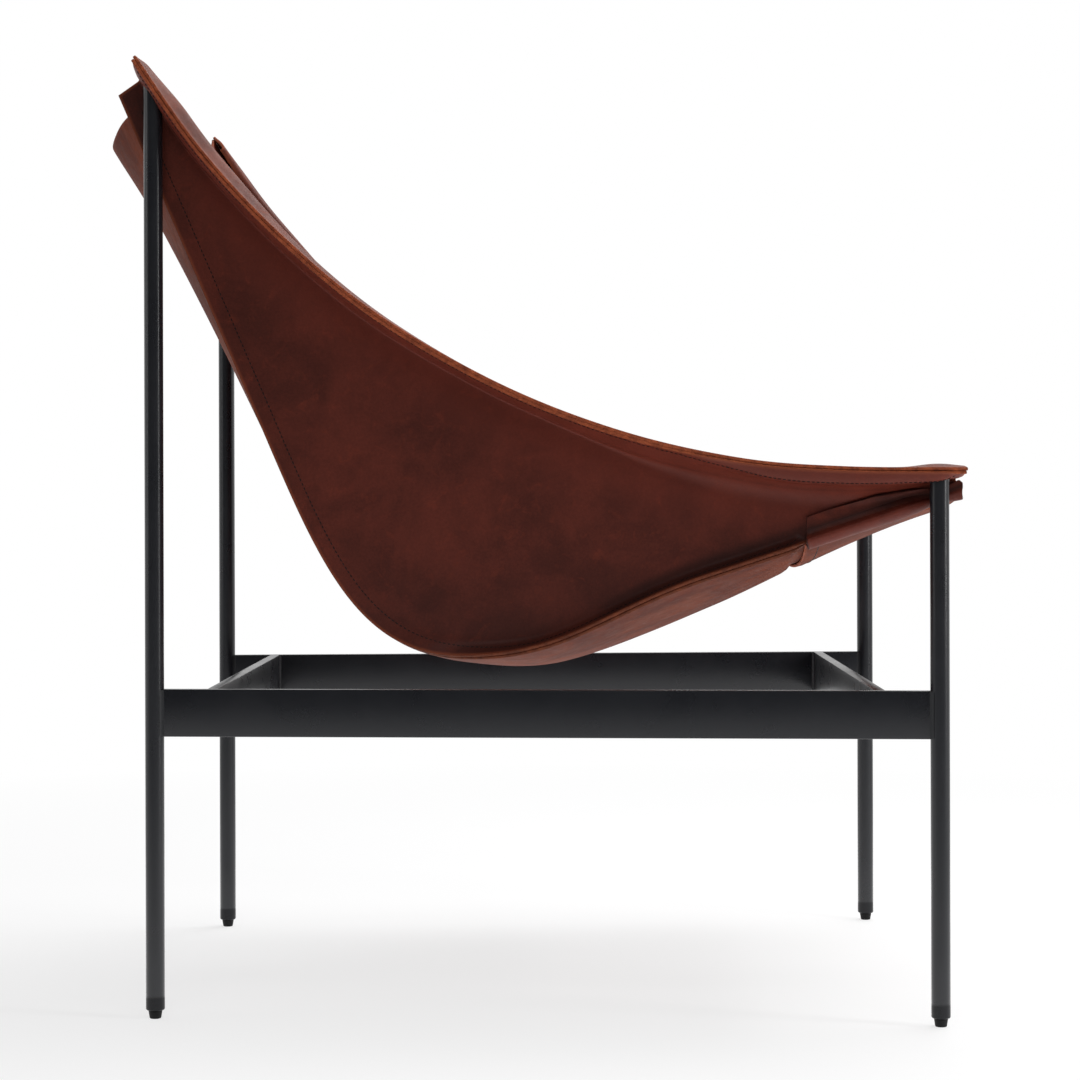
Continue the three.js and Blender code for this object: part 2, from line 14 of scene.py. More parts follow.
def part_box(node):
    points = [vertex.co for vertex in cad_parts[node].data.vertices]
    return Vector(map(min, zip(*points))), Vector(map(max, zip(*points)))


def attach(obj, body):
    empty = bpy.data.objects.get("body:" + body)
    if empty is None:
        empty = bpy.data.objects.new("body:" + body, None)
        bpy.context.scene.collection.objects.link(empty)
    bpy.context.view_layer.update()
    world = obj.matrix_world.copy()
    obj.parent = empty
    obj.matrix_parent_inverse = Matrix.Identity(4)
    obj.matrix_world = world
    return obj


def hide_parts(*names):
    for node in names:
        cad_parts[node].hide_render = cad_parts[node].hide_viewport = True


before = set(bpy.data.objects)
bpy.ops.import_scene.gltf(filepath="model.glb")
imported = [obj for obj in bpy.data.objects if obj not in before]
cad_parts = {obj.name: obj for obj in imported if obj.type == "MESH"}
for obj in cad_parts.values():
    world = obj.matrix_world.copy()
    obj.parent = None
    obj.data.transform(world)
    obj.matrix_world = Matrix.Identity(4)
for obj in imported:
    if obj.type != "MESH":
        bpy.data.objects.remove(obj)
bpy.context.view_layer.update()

# Steel frame, as in the part's source
WHEELBASE = 740.0
REAR_SPAN = 558.0
FRONT_SPAN = 647.0
POST_RADIUS = 9.0
POST_WALL = 2.0
POST_FOOT = 7.9
REAR_POST_TOP = 876.0
REAR_TIP_SLOPE = 1.385
FRONT_POST_TOP = 513.8
RAIL_TOP = 313.0
RAIL_HEIGHT = 45.0
RAIL_THICKNESS = 10.0
CROSS_RAIL_INSET = 55.0
RAIL_EDGE = 0.7
WELD_SINK = 3.0
WELD_RADIUS = 2.6
WELD_ROOT = 0.4
CROSS_RAIL_SINK = 1.0
# (radius, height) of a glide, and (inset, height above the foot) of a post's rounded foot
GLIDE_PROFILE = [(0, 0.0), (4.6, 0.0), (5.2, 0.25), (5.55, 0.9), (6.45, 6.5), (6.6, 7.1), (6.45, 7.6),
                 (4.0, 7.6), (4.0, 25.0), (3.4, 25.6), (0, 25.6)]
POST_FOOT_ROUND = [(1.5, 0.0), (0.7, 0.35), (0.2, 0.95), (0.0, 1.7), (0.0, 60.0)]
POST_TOP_EDGE = 0.6

# Leather and how its layers lie
LEATHER = 3.2
LAYER_STEP = 3.7
LAYER_GAP = 0.5
CUT_ROUND = 0.5
PANEL_OUT = -15.35
POST_HOLE = 9.6
PUNCH_REACH = 72.0

# Lip over the posts
LIP_REACH = 16.0
LIP_BELOW = LEATHER * 1.5
LIP_REAR_TIP = 16.5
LIP_REAR_OVERHANG = 14.5
LIP_FRONT_OVERHANG = 24.0
LIP_END_SETBACKS = (16.0, 8.0)
FACING_SETBACKS = (23.0, 8.0)
PANEL_TOP_STRAIGHT = 12.0
CROWN_FULLNESS = 0.6
CREASE_BENDS = (4.0, 12.0)
CREASE_BEND_FADE = (40.0, 200.0)
CREASE_BEND_SHARE = 0.4
REAR_LIP = 897.1
FRONT_LIP = 521.0
LIP_HANG = [
    (0.064, 0.809), (0.166, 0.593), (0.29, 0.39), (0.446, 0.213),
    (0.6, 0.094), (0.749, 0.026), (0.88, 0.004),
]
# Places along the chair with the depth below the lip of the crease that its strip turns at, and of the
# rounded ridge along the strip, which dips in front of the posts and closes at the tips
LIP_CREASE = [(-384.5, 5.5), (-350.0, 5.5), (-300.0, 5.0), (-90.0, 5.0), (0.0, 6.5), (42.0, 9.0), (98.0, 14.0),
              (174.0, 20.0), (249.0, 25.0), (300.0, 24.0), (330.0, 19.0), (353.0, 13.0), (372.0, 8.0), (394.0, 4.5)]
LIP_RIDGE = [(-384.5, 1.2), (-380.0, 2.8), (-374.0, 3.9), (-335.0, 4.0), (-300.0, 3.4), (-270.0, 1.6),
             (-240.0, 0.0), (90.0, 0.0), (174.0, 6.0), (220.0, 11.0), (249.0, 12.0), (300.0, 11.5), (330.0, 10.0),
             (353.0, 8.7), (372.0, 7.8), (380.0, 6.2), (386.0, 3.4), (391.0, 0.6), (394.0, 0.0)]
RIDGE_PLACES = (0.74, 0.84)
STRIP_TIP_SETBACKS = (1.8, 1.0)
# Toward the front the strip comes up under the facing, so that its own cut edge is tucked in
TUCK = (40.0, 170.0)
TUCK_END = (374.0, 390.0)
TUCK_IN = 0.3
TUCK_UP = 1.3
# Elsewhere the strip is levelled, and its edge is pressed up to the facing, more where the facing's crown rises
STRIP_WIDTH = 25.0
STRIP_START = 0.2
STRIP_LEVEL = 0.8
STRIP_PRESS = 0.08
CROWN_PRESS = 1.15
CROWN_WIDTH = 32.4
PRESS_WIDTH = 5.0
FACING_LIFTS = (12.5, 4.4)
FACING_LIFT_FADE = (-310.0, -220.0)
FACING_CLEARANCE = 4.6
FACING_DROP = 25.0
FACING_DROP_SHARE = 0.35
FACING_BEND = 5.0
FACING_BEND_START = 0.9
FACING_TIP_DEPTHS = ([0.9, 1.0], [9.0, 5.0])
REAR_CROWN = 8.0
REAR_CROWN_AHEAD = 20.0
REAR_CROWN_TAPER = 30.0
REAR_CROWN_LENGTH = 330.0
FRONT_CROWN = 5.2
FRONT_CROWN_LENGTH = 30.0
CROWN_SHARES = {"right": 1.0, "left": 0.4}

# Seam between side panels and centre panel
SEAM_CORNER = (-WHEELBASE / 2 - 35.6, REAR_POST_TOP + 4.0)
SEAM_LOW = (-80.0, RAIL_TOP + 31.0)
SEAM_FRONT = (WHEELBASE / 2 + 22.0, FRONT_POST_TOP - 16.0)
SEAM_BACK_ANGLE = math.radians(66.7)
SEAM_BACK_LENGTH = 323.0
SEAM_BACK_HANDLE = 147.0
SEAM_LOW_HANDLES = (103.0, 102.0)
SEAM_SEAT_ANGLE = math.radians(18.1)
SEAM_SEAT_LENGTH = 249.0
SEAM_SEAT_HANDLE = 104.0
SEAM_MARGIN = 16.0
SEAM_FRONT_MARGIN = 4.0
SEAM_BEND = 8.0
SEAM_TURN = math.radians(70.0)
SEAM_TURN_LENGTH = 92.0
SEAM_FLAT_LENGTH = 22.0
SEAM_FLAT_BEFORE_HEM = -6.0

# Sag of the centre panel, its arched top edge, the front hem and the corner patches
BACK_SAG = 60.0
BACK_SAG_FADE = 2.4
BACK_FLARE = 4.5
BACK_FLARE_LENGTH = 55.0
LOW_SAG = 30.0
SEAT_SAG = 46.0
SEAT_SAG_PLACE = 0.6
FRONT_SAG = 14.5
CENTRE_TOP_DROP = 21.0
CENTRE_TOP_ARCH = 9.5
CENTRE_TOP_RISE = 6.0
CENTRE_ARCH_FADE = 60.0
CENTRE_ARCH_POWER = 8
CENTRE_RISE_START = 0.4
CENTRE_HALF_WIDTH = 300.0
HEM_DEPTH = 152.0
HEM_LAYER = 4.2
HEM_ROLL = 8.0
HEM_RETURN = 22.0
HEM_END_MARGIN = 12.0
PATCH_TOP = [(246.0, 474.5), (310.8, 497.5), (362.9, 507.0), (380.0, 508.0), (394.0, 511.0)]
PATCH_RETURN = 8.0
PATCH_SHORT = 0.5
PATCH_POST_DROP = 6.5
PATCH_AHEAD = 1.5
PATCH_BULGE = 9.5
PATCH_BULGE_FADE = 20.0
PATCH_BULGE_LOSS = 0.97
PATCH_GROOVE = 12.0
PATCH_GROOVE_SHARE = 0.55
PATCH_BELLY_RISE = 1.5
# Shares of the bulge at the patch's fold, outward and down, and above its belly
PATCH_FOLD = (0.45, 0.3)
PATCH_SHOULDER = 0.25
PATCH_SHOULDER_PLACE = 0.6
PATCH_TIP_LENGTH = 22.0
PATCH_AHEAD_LENGTH = 20.0
PATCH_POST_WIDTH = 15.0
# How far each part of the patch's front end reaches ahead, from its top edge to its fold
PATCH_END = [(0.0, -2.8), (0.08, -1.3), (0.2, 0.0), (0.5, 0.4), (0.68, 0.0), (0.85, -0.2), (1.0, -0.8)]
PATCH_END_DROP = 3.2
PATCH_END_DROP_FADE = (0.5, 0.8)

# Stitching
STITCH_PITCH = 4.5
STITCH_LENGTH = 3.5
THREAD = 1.1
STITCH_IN = 14.5
STITCH_IN_TURNED = 7.5
HEM_STITCH_IN = 13.0
# Most that stitches lie in from a narrow margin's raw edge: a share of it and a rest
STITCH_IN_NARROW = (0.55, 6.0)
# Where they start: from the ends of a seam, at a share of half the hem, and in rows from the ends of a lip, under
# which they follow one column of points
SEAM_STITCH_ENDS = (4.0, 6.0)
HEM_STITCH_START = 0.05
LIP_STITCH_ROWS = 3
LIP_STITCH_COLUMN = -6

# Where a lighter tone is painted on a side panel as light, where a dark tone is painted on it as shade, and the
# columns of a patch that have either
PAINTED_LIGHT_BELOW_STRIP = 38.0
PAINTED_LIGHT_START = (-360.0, -290.0)
PAINTED_FOOT_SHADE = 0.5
PAINTED_FOOT_SHADE_FADE = (20.0, 130.0)
PAINTED_TURN_SHADE_WIDTH = 10.0
PAINTED_TURN_SHADE_START = (0.0, 100.0)
PAINTED_CORNER_SHADE = 0.6
PAINTED_CORNER_SHADE_END = (-372.0, -352.0)
PATCH_PAINTED_LIGHT = 0.6
PATCH_PAINTED_LIGHT_START = (20.0, 27.0)
PATCH_PAINTED_SHADE = (14.5, 5.0)
RUBBED_EDGE = 3.5
# The dark tone painted as shade
PAINTED_SHADE_TONE = "#1c0b08"

# Rows and columns of points on the sheets
ALONG_ROWS = 261
CENTRE_ROWS = 251
HEM_ROWS = 44
PATCH_ROWS = 76
SEAM_STITCH_POINTS = 400
HEM_STITCH_POINTS = 60
RIDGE_SOFTENING = 7
BEND_STEPS = 9
STRIP_STEPS = 26
PANEL_STEPS = (8, 44, STRIP_STEPS)
MARGIN_STEPS = PANEL_STEPS[0] + BEND_STEPS
PANEL_TURN = MARGIN_STEPS + PANEL_STEPS[1] + BEND_STEPS
# Columns of a side panel's strip that get a lighter tone painted as light
PAINTED_LIGHT_STRIP = (PANEL_TURN - 5.0, PANEL_TURN + 6.0)
FACING_STEPS = (20, 7)
CENTRE_STEPS = (6, 33)
HEM_STEPS = (25, 16, 8)
PATCH_STEPS = (14, 7)

# Camera, fitted to the photograph, in pixels, degrees and metres
PHOTO_PIXELS = 1080.0
FOCAL_PIXELS = 2743.0
SHIFT_PIXELS = -44.5
SENSOR = 36.0
CAMERA_SPOT = (0.023, -2.884, 0.496)
CAMERA_YAW = 0.57
CAMERA_ROLL = -0.16

# Studio, in metres. The backdrop fades by direction, between two levels of light
CHAIR_MIDDLE = (0.0, 0.0, 0.5)
FLOOR = 40.0
SHADOW_FADE = (0.8, 2.2)
PAPER_FADE = (-1.7, -1.2)
BACKDROP_FADE = (-0.3, 0.5)
STUDIO_LEVELS = (0.1, 0.6)

OUT = np.array([0.0, 1.0, 0.0])
SIDES = {"right": -1.0, "left": 1.0}
low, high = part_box("front_right_post")
MIDDLE = (low[0] + high[0]) / 2 - WHEELBASE / 2000.0


# Lines and rows of the sling

def smooth(start, end, value):
    share = np.clip((value - start) / (end - start), 0.0, 1.0)
    return share * share * (3.0 - 2.0 * share)


def mix(first, second, share):
    return first + (second - first) * share


def unit(vectors):
    return vectors / np.maximum(np.linalg.norm(vectors, axis=-1, keepdims=True), 1e-9)


def toward(start, end, distance):
    return start + unit(end - start) * distance


def column(values):
    return np.asarray(values)[..., None]


def from_table(table, places):
    return np.interp(places, *np.array(table).T)


def half_span(x):
    """Half the distance between the post axes of the two sides at a place along the chair."""
    return (REAR_SPAN + (FRONT_SPAN - REAR_SPAN) * (x / WHEELBASE + 0.5)) / 2


def place(side, points):
    """Side coordinates (along the chair, outward from the post axes, up) to the chair's own."""
    x, out, z = np.moveaxis(points, -1, 0)
    return np.stack([x, side * (half_span(x) + out), z], axis=-1)


def measured(points):
    """A line of close points with the share of its length and the direction at each of them."""
    travelled = np.concatenate([[0.0], np.cumsum(np.linalg.norm(np.diff(points, axis=0), axis=1))])
    ways = unit(np.gradient(points, travelled, axis=0))
    return {"share": travelled / travelled[-1], "points": points, "ways": ways, "length": travelled[-1]}


def on_line(line, share):
    """Points, directions and upward normals at shares of a line, in side coordinates."""
    x, z = (np.interp(share, line["share"], line["points"][:, k]) for k in (0, 1))
    way_x, way_z = (np.interp(share, line["share"], line["ways"][:, k]) for k in (0, 1))
    still = np.zeros_like(x)
    return (
        np.stack([x, still, z], axis=-1),
        unit(np.stack([way_x, still, way_z], axis=-1)),
        unit(np.stack([-way_z, still, way_x], axis=-1)),
    )


def through(points, steps=160):
    """A smooth line through points, with even weight on each of them."""
    points = np.asarray(points, dtype=float)
    padded = np.concatenate([points[:1], points, points[-1:]])
    t = np.linspace(0.0, 1.0, steps, endpoint=False).reshape(-1, *[1] * (points.ndim - 1))
    spans = []
    for a, b, c, d in zip(padded[:-3], padded[1:-2], padded[2:-1], padded[3:]):
        leave, arrive = (c - a) / 2, (d - b) / 2
        spans.append((2 * b - 2 * c + leave + arrive) * t ** 3 + (3 * c - 3 * b - 2 * leave - arrive) * t ** 2
                     + leave * t + b)
    return np.concatenate(spans + [points[-1:]])


def arc(a, b, c, d, steps=300):
    t = np.linspace(0.0, 1.0, steps)[:, None]
    return a * (1 - t) ** 3 + 3 * b * t * (1 - t) ** 2 + 3 * c * t * t * (1 - t) + d * t ** 3


def lip_line():
    hang = [((along - 0.5) * WHEELBASE, mix(FRONT_LIP, REAR_LIP, fall)) for along, fall in LIP_HANG]
    tip = (-WHEELBASE / 2 - LIP_REAR_OVERHANG, REAR_LIP + LIP_REAR_TIP)
    return measured(through([tip, *hang, (WHEELBASE / 2 + LIP_FRONT_OVERHANG, FRONT_LIP)]))


def seam_line():
    """The sewn seam of a side: straight down the back, round below the seat, straight to the front."""
    corner, lowest, front = (np.array(point) for point in (SEAM_CORNER, SEAM_LOW, SEAM_FRONT))
    down = np.array([math.cos(SEAM_BACK_ANGLE), -math.sin(SEAM_BACK_ANGLE)])
    rearward = np.array([-math.cos(SEAM_SEAT_ANGLE), -math.sin(SEAM_SEAT_ANGLE)])
    back_end = corner + down * SEAM_BACK_LENGTH
    seat_end = front + rearward * SEAM_SEAT_LENGTH
    flat = np.array([1.0, 0.0])
    pieces = [
        mix(corner, back_end, np.linspace(0.0, 1.0, 300)[:, None]),
        arc(back_end, back_end + down * SEAM_BACK_HANDLE, lowest - flat * SEAM_LOW_HANDLES[0], lowest),
        arc(lowest, lowest + flat * SEAM_LOW_HANDLES[1], seat_end + rearward * SEAM_SEAT_HANDLE, seat_end),
        mix(seat_end, front, np.linspace(0.0, 1.0, 300)[:, None]),
    ]
    lengths = [np.linalg.norm(np.diff(piece, axis=0), axis=1).sum() for piece in pieces]
    line = measured(np.concatenate([pieces[0]] + [piece[1:] for piece in pieces[1:]]))
    return line, (lengths[0] + lengths[1]) / line["length"]


LIP = lip_line()
SEAM, LOW_SHARE = seam_line()
SEAM_LENGTH = SEAM["length"]
HEM_START = 1.0 - HEM_DEPTH / SEAM_LENGTH
CENTRE_START = CENTRE_TOP_DROP / SEAM_LENGTH
CENTRE_END = 1.0 - HEM_ROLL / SEAM_LENGTH
SEAT_SHARE = mix(LOW_SHARE, HEM_START, SEAT_SAG_PLACE)
TURN_START = LOW_SHARE - SEAM_TURN_LENGTH / SEAM_LENGTH
TURN_END = LOW_SHARE + SEAM_TURN_LENGTH / SEAM_LENGTH
FLAT_END = HEM_START - SEAM_FLAT_BEFORE_HEM / SEAM_LENGTH
FLAT_START = FLAT_END - SEAM_FLAT_LENGTH / SEAM_LENGTH


def sag_at(share):
    flare = BACK_FLARE * np.exp(-(share * SEAM_LENGTH / BACK_FLARE_LENGTH) ** 2)
    back = LOW_SAG + (BACK_SAG - LOW_SAG) * np.clip(1 - share / LOW_SHARE, 0, 1) ** BACK_SAG_FADE + flare
    seat = LOW_SAG + (SEAT_SAG - LOW_SAG) * smooth(LOW_SHARE, SEAT_SHARE, share)
    seat = seat + (FRONT_SAG - SEAT_SAG) * smooth(SEAT_SHARE, 1.0, share)
    return np.where(share < LOW_SHARE, back, seat)


def seam_at(share):
    """Raw edge, root and margin of the seam, and the way from the side panel to the centre panel's layer."""
    point, _, normal = on_line(SEAM, share)
    flat = smooth(FLAT_START, FLAT_END, share)
    margin = mix(SEAM_MARGIN, SEAM_FRONT_MARGIN, flat)
    turn = SEAM_TURN * smooth(TURN_START, TURN_END, share) * (1.0 - flat)
    cos, sin = column(np.cos(turn)), column(np.sin(turn))
    margin_way = -normal * cos + OUT * sin
    raw = point + OUT * (PANEL_OUT + column(margin) * sin)
    return {
        "raw": raw,
        "root": raw - margin_way * column(margin),
        "normal": normal,
        "margin": column(margin),
        "margin_way": margin_way,
        "layer_way": -normal * sin - OUT * cos,
        "bend": column(np.minimum(SEAM_BEND, 0.6 * margin)),
    }


def lip_at(share):
    """Upper edge of the lip, the edge of the panel's strip below it, and the crease the strip turns at."""
    edge, _, normal = on_line(LIP, share)

    def from_ends(setbacks):
        rear, front = (setback / LIP["length"] for setback in setbacks)
        point, _, up = on_line(LIP, mix(rear, 1.0 - front, share))
        return point, up

    fold, fold_normal = from_ends(LIP_END_SETBACKS)
    inside, inside_normal = from_ends(FACING_SETBACKS)
    strip, strip_normal = from_ends(STRIP_TIP_SETBACKS)
    x = edge[..., 0]
    depth = from_table(LIP_CREASE, x)
    ridge = from_table(LIP_RIDGE, x)
    tuck = smooth(*TUCK, x) * (1.0 - smooth(*TUCK_END, x))
    ridge_place = mix(*RIDGE_PLACES, tuck)
    dip = np.maximum(0.0, ridge - (1.0 - ridge_place) * depth)
    padded = np.pad(dip, RIDGE_SOFTENING // 2, mode="edge")
    inside_depth = LIP_BELOW + np.minimum(depth, np.interp(share, *FACING_TIP_DEPTHS))
    return {
        "normal": normal,
        "top": edge + OUT * LIP_REACH,
        "edge": (strip - strip_normal * column(LIP_BELOW - TUCK_UP * tuck)
                 + OUT * column(LIP_REACH - TUCK_IN * tuck)),
        "tuck": tuck,
        "depth": depth,
        "ridge_place": ridge_place,
        "crease": fold - fold_normal * column(LIP_BELOW + depth) + OUT * PANEL_OUT,
        "facing_crease": inside - inside_normal * column(inside_depth) + OUT * PANEL_OUT,
        "dip": column(np.convolve(padded, np.ones(RIDGE_SOFTENING) / RIDGE_SOFTENING, mode="valid")),
    }


def bend(start, corner, leave):
    """Columns of a curve from start to leave that turns at a corner, without the last one."""
    shares = [k / BEND_STEPS for k in range(BEND_STEPS)]
    return [start * (1 - t) ** 2 + corner * 2 * t * (1 - t) + leave * t * t for t in shares]


def evenly(start, end, count):
    """Columns in even steps from start to end, without the last one."""
    return [mix(start, end, k / count) for k in range(count)]


def rounded(corners, bends, steps):
    """Columns of points along corners: even steps on the straights and a curve at each inner corner."""
    columns, start = [], corners[0]
    for before, corner, after, reach, count in zip(corners, corners[1:], corners[2:], bends, steps):
        end, leave = toward(corner, before, reach), toward(corner, after, reach)
        columns += evenly(start, end, count) + bend(end, corner, leave)
        start = leave
    columns += evenly(start, corners[-1], steps[-1]) + [corners[-1]]
    return np.stack(columns, axis=1)


def rear_crown(x):
    """How far the facing stands up from the lip ahead of the rear post tips."""
    ahead = x + WHEELBASE / 2 - REAR_CROWN_AHEAD
    fading = np.maximum(0.0, 1.0 - np.maximum(ahead, 0.0) / REAR_CROWN_LENGTH)
    return REAR_CROWN * fading * np.exp(-(np.minimum(ahead, 0.0) / REAR_CROWN_TAPER) ** 2)


def front_crown(x):
    return FRONT_CROWN * np.exp(-((x - WHEELBASE / 2) / FRONT_CROWN_LENGTH) ** 2)


def side_panel_rows(crown_share=1.0):
    """Rows of a side panel from its raw seam edge to the raw edge of its strip. Its rear top edge is cut straight,
    and the strip's edge lies against the facing."""
    share = np.linspace(0.0, 1.0, ALONG_ROWS)
    seam, lip = seam_at(share), lip_at(share)
    straight = column(np.exp(-(share * SEAM_LENGTH / PANEL_TOP_STRAIGHT) ** 2))
    root = mix(seam["root"], toward(seam["raw"], lip["crease"], seam["margin"]), straight)
    corners = [seam["raw"], root, lip["crease"], lip["edge"]]
    height = np.linalg.norm(lip["crease"] - root, axis=-1)
    x = lip["top"][:, 0]
    rise = math.pi / CROWN_WIDTH * (CROWN_FULLNESS * crown_share * rear_crown(x) + front_crown(x))
    tilt = (CROWN_PRESS * rise + STRIP_PRESS) * (1.0 - lip["tuck"])
    crease_bend = mix(*CREASE_BENDS, smooth(*CREASE_BEND_FADE, lip["crease"][:, 0]))
    bends = [seam["bend"], column(np.minimum(crease_bend, CREASE_BEND_SHARE * height))]
    grid = rounded(corners, bends, PANEL_STEPS)
    for k in range(STRIP_STEPS + 1):
        way = k / STRIP_STEPS
        place_on_ridge = mix(STRIP_START, 1.0, way) ** (math.log(0.5) / np.log(lip["ridge_place"]))
        swell = np.sin(math.pi * place_on_ridge)
        dip = lip["dip"] * column(mix(swell * swell, swell, lip["tuck"]))
        inward = STRIP_WIDTH * (1.0 - way)
        pressed = tilt * inward * math.exp(-(inward / PRESS_WIDTH) ** 2)
        levelled = STRIP_LEVEL * lip["depth"] * (smooth(0.0, 1.0, way) - way) * (1.0 - lip["tuck"])
        grid[:, PANEL_TURN + k] += lip["normal"] * (column(levelled + pressed) - dip)
    return grid


def facing_grid(side, crown_share):
    share = np.linspace(0.0, 1.0, ALONG_ROWS)
    seam, lip = seam_at(share), lip_at(share)
    outer = lip["top"] - lip["normal"] * (LEATHER / 2)
    lift = column(mix(*FACING_LIFTS, smooth(*FACING_LIFT_FADE, lip["top"][:, 0])))
    inner = lip["facing_crease"] + lip["normal"] * lift - OUT * FACING_CLEARANCE
    height = np.linalg.norm(lip["facing_crease"] - seam["root"], axis=-1, keepdims=True)
    end = inner - lip["normal"] * np.minimum(FACING_DROP, FACING_DROP_SHARE * height)
    x = lip["top"][:, 0]
    rear = column(crown_share * rear_crown(x))
    front = column(front_crown(x))
    rise = np.sum((inner - outer) * lip["normal"], axis=-1, keepdims=True)
    columns = []
    for k in range(FACING_STEPS[0] + 1):
        way = k / FACING_STEPS[0]
        across = way * FACING_BEND_START
        arch = math.sin(math.pi * way)
        crown = rear * mix(arch * arch, arch, CROWN_FULLNESS) + front * arch
        raised = crown + rise * (smooth(0.0, 1.0, across) - across)
        columns.append(mix(outer, inner, across) + lip["normal"] * raised)
    leave = toward(inner, end, FACING_BEND)
    columns += bend(columns.pop(), inner, leave) + evenly(leave, end, FACING_STEPS[1]) + [end]
    return place(side, np.stack(columns, axis=1))


def centre_point(side, share, way):
    """Middle surface of the centre panel, from its seam root (way 0) to the middle of the chair (way 1)."""
    seam = seam_at(share)
    root = place(side, seam["root"] + seam["layer_way"] * LAYER_STEP)
    dip = 1.0 - (1.0 - way) ** 2
    root[..., 1] *= 1.0 - way
    return root - seam["normal"] * column(sag_at(share) * dip)


def arched(share, way):
    """The top edge is cut as an arch, so rows near it lie higher toward the middle of the chair."""
    fade = 1.0 - smooth(CENTRE_START, CENTRE_START + CENTRE_ARCH_FADE / SEAM_LENGTH, share)
    raised = CENTRE_TOP_ARCH * (1.0 - (1.0 - way) ** CENTRE_ARCH_POWER)
    raised += CENTRE_TOP_RISE * smooth(CENTRE_RISE_START, 1.0, way)
    return share - raised / SEAM_LENGTH * fade


def centre_half(side, share):
    seam = seam_at(share)
    root = seam["root"] + seam["layer_way"] * LAYER_STEP
    first = SEAM_BEND / CENTRE_HALF_WIDTH
    raw, start = (place(side, root + seam["margin_way"] * seam[key]) for key in ("margin", "bend"))
    leave = centre_point(side, share, first)
    columns = evenly(raw, start, CENTRE_STEPS[0]) + bend(start, place(side, root), leave)
    ways = np.linspace(first, 1.0, CENTRE_STEPS[1] + 1)
    return columns + [centre_point(side, arched(share, way), way) for way in ways]


def across_chair(right, left):
    """Columns from the right-hand edge to the left-hand one, from two lists that both end at the middle."""
    return right + left[-2::-1]


def centre_panel_grid():
    share = np.linspace(CENTRE_START, CENTRE_END, CENTRE_ROWS)
    return np.stack(across_chair(*(centre_half(side, share) for side in SIDES.values())), axis=1)


def hem_columns(side, way):
    """The band under the front of the seat, its roll round the front edge and its return on top."""
    def point(share, above):
        share = np.asarray(share)
        return centre_point(side, share, way) + on_line(SEAM, share)[2] * column(above)

    under = np.linspace(0.0, 1.0, HEM_STEPS[0] + 1)[:-1]
    below = point(mix(HEM_START, CENTRE_END, under), -mix(HEM_LAYER, HEM_ROLL, under))
    angle = np.linspace(-math.pi / 2, math.pi / 2, HEM_STEPS[1] + 1)
    end = np.full_like(angle, CENTRE_END)
    roll = point(end, HEM_ROLL * np.sin(angle)) + on_line(SEAM, end)[1] * column(HEM_ROLL * np.cos(angle))
    back = np.linspace(0.0, 1.0, HEM_STEPS[2] + 1)[1:]
    above = point(CENTRE_END - HEM_RETURN / SEAM_LENGTH * back, mix(HEM_ROLL, HEM_LAYER, smooth(0, 1, back)))
    return np.concatenate([below, roll, above])


def hem_grid():
    ways = np.linspace(HEM_END_MARGIN / half_span(WHEELBASE / 2), 1.0, HEM_ROWS)
    return np.stack(across_chair(*([hem_columns(side, way) for way in ways] for side in SIDES.values())))


def patch_grid(side):
    """The corner patch: it lies on the outside of the side panel, folds round the seam's margin below it,
    and reaches forward over the end of the hem's roll."""
    share = np.linspace(HEM_START, 1.0 - PATCH_SHORT / SEAM_LENGTH, PATCH_ROWS)
    seam = seam_at(share)
    ahead = PATCH_AHEAD * smooth(CENTRE_END - PATCH_AHEAD_LENGTH / SEAM_LENGTH, 1.0, share)
    raw = seam["raw"] + on_line(SEAM, share)[1] * column(ahead)
    x = raw[:, 0]
    panel = side_panel_rows()[:, MARGIN_STEPS:PANEL_TURN]
    lines = np.stack([[np.interp(x, line[:, 0], line[:, k]) for k in (1, 2)] for line in np.moveaxis(panel, 1, 0)])
    out, height = np.moveaxis(lines, 1, 0)
    at_post = np.exp(-((x - WHEELBASE / 2) / PATCH_POST_WIDTH) ** 2)
    top = np.minimum(from_table(PATCH_TOP, x), height[-1] - 1.0) - PATCH_POST_DROP * at_post
    groove = raw[:, 2] + np.minimum(PATCH_GROOVE, PATCH_GROOVE_SHARE * (top - raw[:, 2]))

    def lain(level):
        """How far out the side panel lies at a level of each row."""
        return np.array([np.interp(z, heights, outs) for z, heights, outs in zip(level, height.T, out.T)])

    columns = []
    for level in evenly(top, groove, PATCH_STEPS[0]) + [groove]:
        away = unit(np.stack([np.zeros_like(x), np.ones_like(x), lain(level) - lain(level + 1.0)], axis=-1))
        columns.append(np.stack([x, lain(level), level], axis=-1) + away * LAYER_STEP)
    behind = np.minimum(x - WHEELBASE / 2, 0.0) / PATCH_BULGE_FADE
    bulge = column(PATCH_BULGE * (1.0 - PATCH_BULGE_LOSS * np.exp(-behind ** 2)))
    last = columns.pop()
    below = LAYER_GAP + LEATHER / 2
    belly = raw + OUT * (LAYER_STEP + bulge) + seam["normal"] * PATCH_BELLY_RISE
    fold = raw + OUT * bulge * PATCH_FOLD[0] - seam["normal"] * (below + PATCH_FOLD[1] * bulge)
    end = raw - seam["normal"] * below - OUT * PATCH_RETURN
    shoulder = mix(last, belly, PATCH_SHOULDER_PLACE) - OUT * bulge * PATCH_SHOULDER
    turned = through(np.stack([last, shoulder, belly, fold, end]), steps=PATCH_STEPS[1])
    grid = np.stack(columns + list(turned), axis=1)
    down = np.linspace(0.0, 1.0, grid.shape[1])
    near_end = column(smooth(1.0 - PATCH_TIP_LENGTH / SEAM_LENGTH, 1.0, share))
    grid[..., 0] += near_end * from_table(PATCH_END, down)
    grid[..., 2] -= near_end * PATCH_END_DROP * smooth(*PATCH_END_DROP_FADE, down)
    return place(side, grid)


# Meshes

def metres(points):
    return (np.asarray(points, dtype=float).reshape(-1, 3) + [MIDDLE * 1000.0, 0.0, 0.0]) * 0.001


